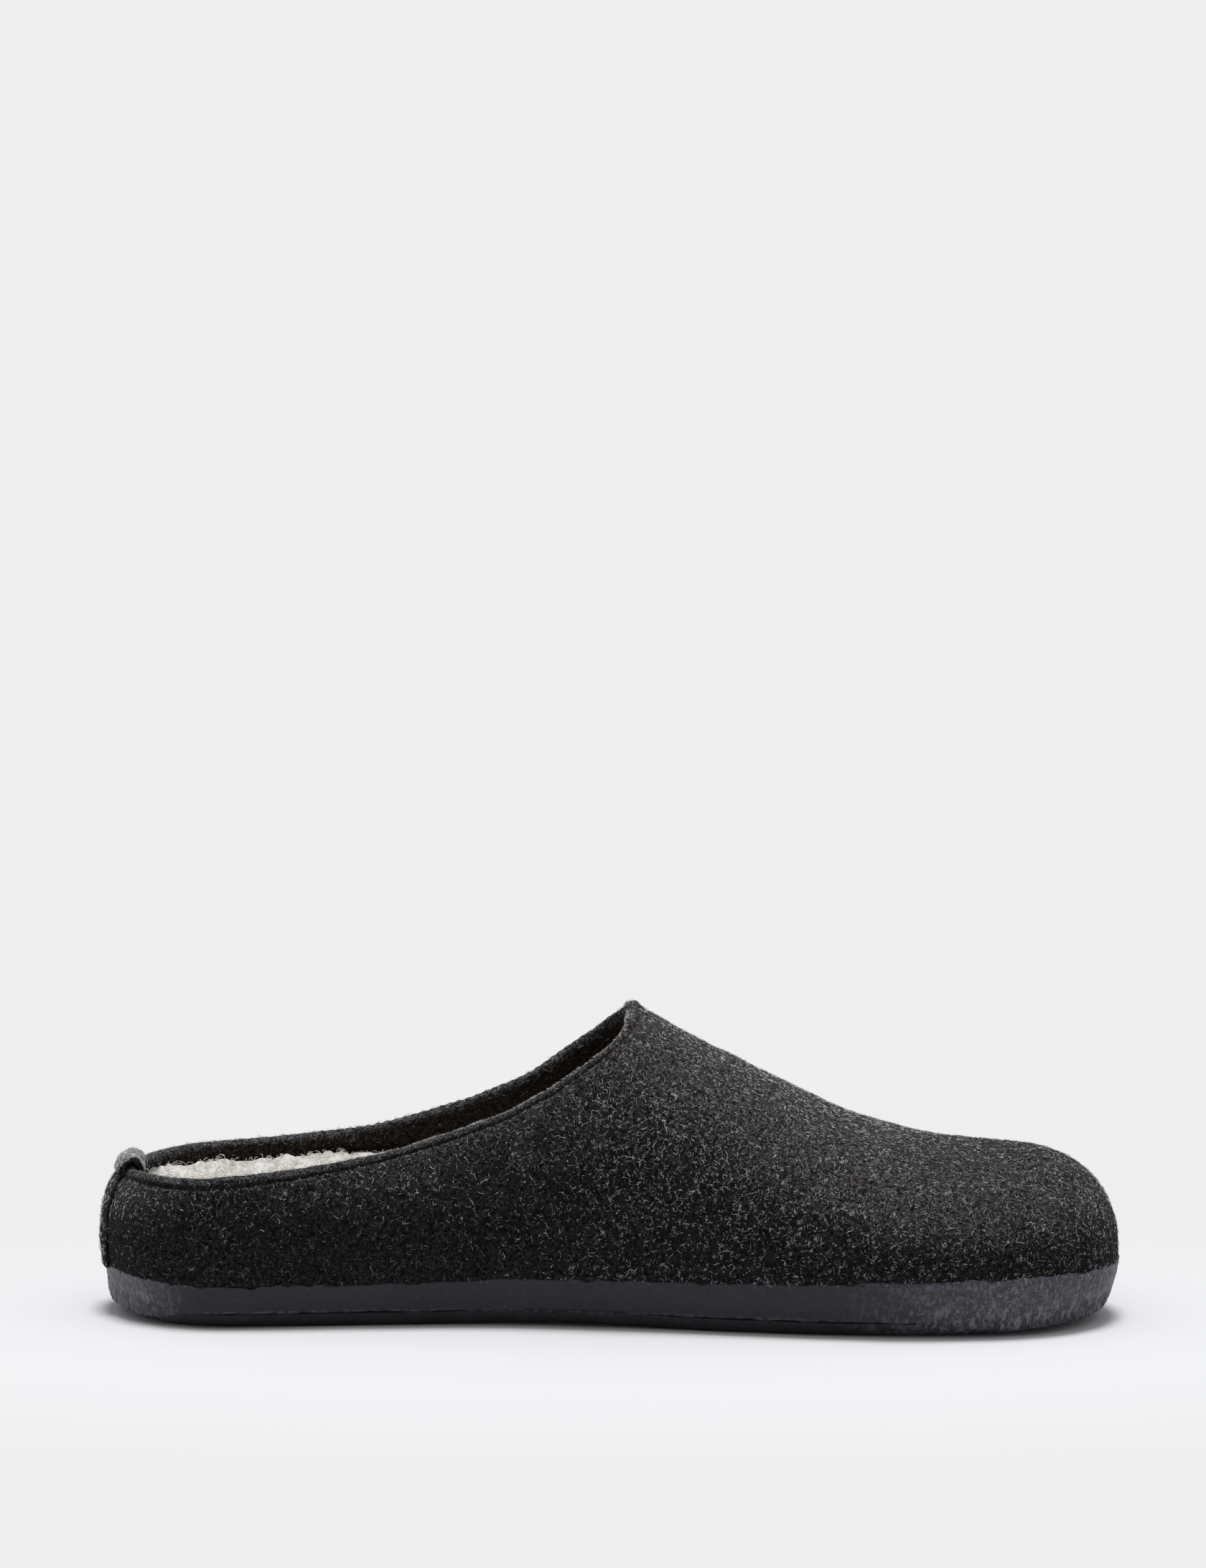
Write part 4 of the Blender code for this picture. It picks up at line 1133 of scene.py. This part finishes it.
def bed_height(p, share):
    u = p[..., 0] + LENGTH / 2
    s = np.minimum(1.0, (1 - np.abs(2 * share - 1)) * 1.6)
    base = smooth(BED, "edge", u) * (1 - s) + smooth(BED, "middle", u) * s
    tuft = 1.6 * lumps(p, 8, 51) + 1.7 * np.abs(lumps(p, 4.2, 52)) + 0.5 * lumps(p, 1.9, 53)
    return base - 1.1 + 0.5 * (1 - ease(u, 60, 110)) + tuft


shell = Shell()
low_ring = on_ground(bed_ring(0.0), FLOOR_TOP + SEAT)
rows = [shell.add(low_ring)] + [shell.add(bed_ring(s)) for s in (0.3, 0.6, 0.85)] + [shell.add(bed_ring(0.96, 0.2)), shell.add(bed_ring(1.0, 1.1))]
for low, high in zip(rows, rows[1:]):
    shell.band(low, high)
bed_grid = shell.plate(rows[-1], bed_height, 54)
shell.plate(rows[0], lambda p, k: on_ground(p, FLOOR_TOP + SEAT)[..., 2], 6)
bed_points = np.concatenate(shell.points)
bed = shell.build("fleece_bed", [fleece_material()])
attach(bed, "root")
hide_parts("insole")

bed_faces = np.stack([bed_grid[:-1, :-1], bed_grid[1:, :-1], bed_grid[1:, 1:], bed_grid[:-1, 1:]], -1).reshape(-1, 4)
if face_normals(bed_points, bed_faces)[:, 2].sum() < 0:
    bed_faces = bed_faces[:, ::-1]


def bed_density(c, n):
    at = c[:, 0] + LENGTH / 2
    return 1.0 - 0.97 * ease(at, 150, 185)


strands = strand_material()
BED_HAIRS = 4900
for part in range(1):
    where, normal, area = scatter(bed_points, bed_faces, bed_density, BED_HAIRS, rng)
    hairs(f"fleece_curls_{part + 1}", where, normal, rng.uniform(2.0, 5.0, BED_HAIRS), rng.uniform(1.5, 6.0, BED_HAIRS),
          rng.uniform(0.1, 1.0, BED_HAIRS), rng.uniform(-0.4, 1.4, BED_HAIRS), rng.uniform(0.055, 0.11, BED_HAIRS),
          5, strands, rng)


# ------------------------------------------------------------ heel strip
def strip_profile(share):
    """Inner and outer points of the strip's section, up the back and over the collar."""
    side = 1.0 if share >= 0 else -1.0
    middle = plan_point(0.0, side)[1]

    def angle_for(width):
        low, high = 0.0, 0.8
        for _ in range(40):
            mid = (low + high) / 2
            if abs(plan_point(mid, side)[1] - middle) < width:
                low = mid
            else:
                high = mid
        return low

    inside, outside = [], []
    band_top = float(smooth(BAND, "height", 2.0)) - 0.6
    for z, up in ((band_top, 0.0), (15.5, 0.04), (17, 0.08), (18.5, 0.1), (20.2, 0.17), (22.0, 0.22), (23.0, 0.25)):
        half = STRIP_HALF_LOW + (STRIP_HALF_TOP - STRIP_HALF_LOW) * up
        a = angle_for(abs(share) * half)
        n = plan_normal(a, side)
        n3 = np.array([n[0], n[1], 0.0])
        p = flank(a, side, min(z, float(widest(a))))
        inside.append(p + n3 * SEAT)
        outside.append(p + n3 * (SEAT + STRIP_THICK))
    for up in (0.12, 0.25, 0.4, 0.55, 0.7, 0.85, 1.0):
        half = STRIP_HALF_LOW + (STRIP_HALF_TOP - STRIP_HALF_LOW) * (0.25 + 0.75 * up)
        a = angle_for(abs(share) * half)
        end = float(rim_angle(a, side))
        p, q = crown(a, side, end * up), crown(a, side, end * up - 0.02)
        n = plan_normal(a, side)
        t = (p - q) / np.linalg.norm(p - q)
        n3 = np.array([n[0], n[1], 0.0])
        n3 = n3 - t * np.dot(n3, t)
        n3 /= np.linalg.norm(n3)
        inside.append(p + n3 * SEAT)
        outside.append(p + n3 * (SEAT + STRIP_THICK))
    n2 = np.array([n[0], n[1], 0.0])
    centre = p - n3 * FELT / 2
    rise = STRIP_LOOP_TOP - centre[2]
    for turn in np.linspace(15, 180, 16):
        w = math.radians(turn)
        mid = centre + n2 * STRIP_LOOP_HALF * math.cos(w) + np.array([0, 0, 1.0]) * rise * math.sin(w)
        out = n2 * math.cos(w) / STRIP_LOOP_HALF + np.array([0, 0, 1.0]) * math.sin(w) / rise
        out /= np.linalg.norm(out)
        inside.append(mid - out * STRIP_FOLD_THICK / 2)
        outside.append(mid + out * STRIP_FOLD_THICK / 2)
    depth = centre[2] - STRIP_INNER_END
    for part in (0.33, 0.66, 1.0):
        mid = centre - n2 * (STRIP_LOOP_HALF + 0.35 * part) - np.array([0, 0, depth * part])
        inside.append(mid + n2 * STRIP_FOLD_THICK / 2)
        outside.append(mid - n2 * STRIP_FOLD_THICK / 2)
    return np.array(inside), np.array(outside)


STRIP_COLUMNS = 26
sections = [strip_profile(2 * k / STRIP_COLUMNS - 1) for k in range(STRIP_COLUMNS + 1)]
inside = np.array([s[0] for s in sections])
outside = np.array([s[1] for s in sections])
thick = unit(outside - inside)
rough = 0.28 * lumps(outside, 5, 61) + 0.16 * lumps(outside, 2.2, 62)
edge_share = np.abs(np.linspace(-1, 1, STRIP_COLUMNS + 1))[:, None]
rough = rough - 0.35 * np.exp(-((1 - edge_share) / 0.05) ** 2)
outside_soft = outside + thick * rough[..., None]
shell = Shell()
M = inside.shape[1]
rings = [shell.add(np.concatenate([i, o[::-1]])) for i, o in zip(inside, outside_soft)]
for a, b in zip(rings, rings[1:]):
    shell.band(a, b)
for r in (rings[0], rings[-1]):
    shell.quads(np.array([[r[i], r[i + 1], r[2 * M - 2 - i], r[2 * M - 1 - i]] for i in range(M - 1)]))
strip_felt = felt_material("felt_strip", (0.0100, 0.0100, 0.0105), (0.0110, 0.0115, 0.0150), (0.0120, 0.0098, 0.0080),
                           (0.34, 0.33, 0.33), 1.1, 1.3)
strip = shell.build("heel_strip_felt", [strip_felt], 70)
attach(strip, "root")
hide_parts("heel_strip")

grid_s = np.arange((STRIP_COLUMNS + 1) * M).reshape(STRIP_COLUMNS + 1, M)
strip_faces = np.stack([grid_s[:-1, :-1], grid_s[1:, :-1], grid_s[1:, 1:], grid_s[:-1, 1:]], -1).reshape(-1, 4)
strip_points = outside_soft.reshape(-1, 3)
strip_out = thick.reshape(-1, 3)
if np.sum(face_normals(strip_points, strip_faces) * strip_out[strip_faces].mean(1)) < 0:
    strip_faces = strip_faces[:, ::-1]


def strip_density(c, n):
    return 0.22 + 2.4 * ease(c[:, 2], 39.5, 42.5)


STRIP_HAIRS = 1500
where, normal, area = scatter(strip_points, strip_faces, strip_density, STRIP_HAIRS, rng)
hairs("wool_strip", where, normal, rng.uniform(0.9, 2.8, STRIP_HAIRS), rng.uniform(0.3, 4.0, STRIP_HAIRS),
      rng.uniform(0.03, 0.35, STRIP_HAIRS), rng.uniform(-0.1, 0.5, STRIP_HAIRS), rng.uniform(0.04, 0.07, STRIP_HAIRS),
      5, hair_grey, rng)

# ------------------------------------------------------------ floor, light
floor_mesh = bpy.data.meshes.new("floor")
far = 200.0
floor_mesh.from_pydata([(-far, -far, 0), (far, -far, 0), (far, far, 0), (-far, far, 0)], [], [(0, 1, 2, 3)])
floor = bpy.data.objects.new("floor", floor_mesh)
bpy.context.scene.collection.objects.link(floor)
floor_paint = bpy.data.materials.new("floor_paint")
floor_paint.use_nodes = True
paint = floor_paint.node_tree.nodes["Principled BSDF"]
n = Nodes(floor_paint.node_tree)
# painted light: the floor is a little lighter in a patch round the shoe, against the shoe's own shadow
reach = n.add("ShaderNodeVectorMath", operation="LENGTH")
n.link(n.place((0.6, 1.25, 1.0), (0.0, 0.05, 0.0)), reach.inputs[0])
n.link(n.mix(n.ramp(reach.outputs["Value"], 0.08, 0.26), (0.834, 0.840, 0.853, 1), (0.790, 0.790, 0.788, 1)), paint.inputs["Base Color"])
paint.inputs["Roughness"].default_value = 1.0
paint.inputs["Specular IOR Level"].default_value = 0.0
floor_mesh.materials.append(floor_paint)
floor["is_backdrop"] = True

world = bpy.data.worlds.new("studio")
bpy.context.scene.world = world
world.use_nodes = True
n = Nodes(world.node_tree)
background = world.node_tree.nodes["Background"]
direction = n.add("ShaderNodeSeparateXYZ")
n.link(n.add("ShaderNodeTexCoord").outputs["Generated"], direction.inputs[0])
ramp = n.add("ShaderNodeValToRGB")
ramp.color_ramp.interpolation = "EASE"
stops = [(0.0, 0.86), (0.05, 0.86), (0.11, 0.22), (0.50, 0.165), (0.80, 0.50), (1.0, 0.68)]
while len(ramp.color_ramp.elements) < len(stops):
    ramp.color_ramp.elements.new(0.5)
for element, (place, value) in zip(ramp.color_ramp.elements, stops):
    element.position = place
    element.color = (value, value, value * 1.01, 1)
n.link(direction.outputs[2], ramp.inputs[0])
n.link(ramp.outputs[0], background.inputs[0])
# softboxes to the left and right
beside = n.ramp(n.math("ABSOLUTE", direction.outputs[0]), 0.55, 0.92)
over = n.ramp(direction.outputs[2], 0.06, 0.2)
n.link(n.math("ADD", 1.0, n.math("MULTIPLY", n.math("MULTIPLY", beside, over), 1.5)), background.inputs[1])


def sun(name, strength, angle, azimuth, height):
    """Soft light from a direction: azimuth 0 is the camera's side, 90 is the toe's."""
    data = bpy.data.lights.new(name, "SUN")
    data.energy = strength
    data.angle = math.radians(angle)
    obj = bpy.data.objects.new(name, data)
    az, el = math.radians(azimuth), math.radians(height)
    obj.rotation_euler = (math.pi / 2 - el, 0.0, az)
    bpy.context.scene.collection.objects.link(obj)
    return obj


sun("overhead", 2.00, 20, 172, 88.5)

scene = bpy.context.scene
scene.view_settings.view_transform = "Standard"
scene.view_settings.look = "None"
scene.view_settings.exposure = 0.0
scene.view_settings.gamma = 1.0

low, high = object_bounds()
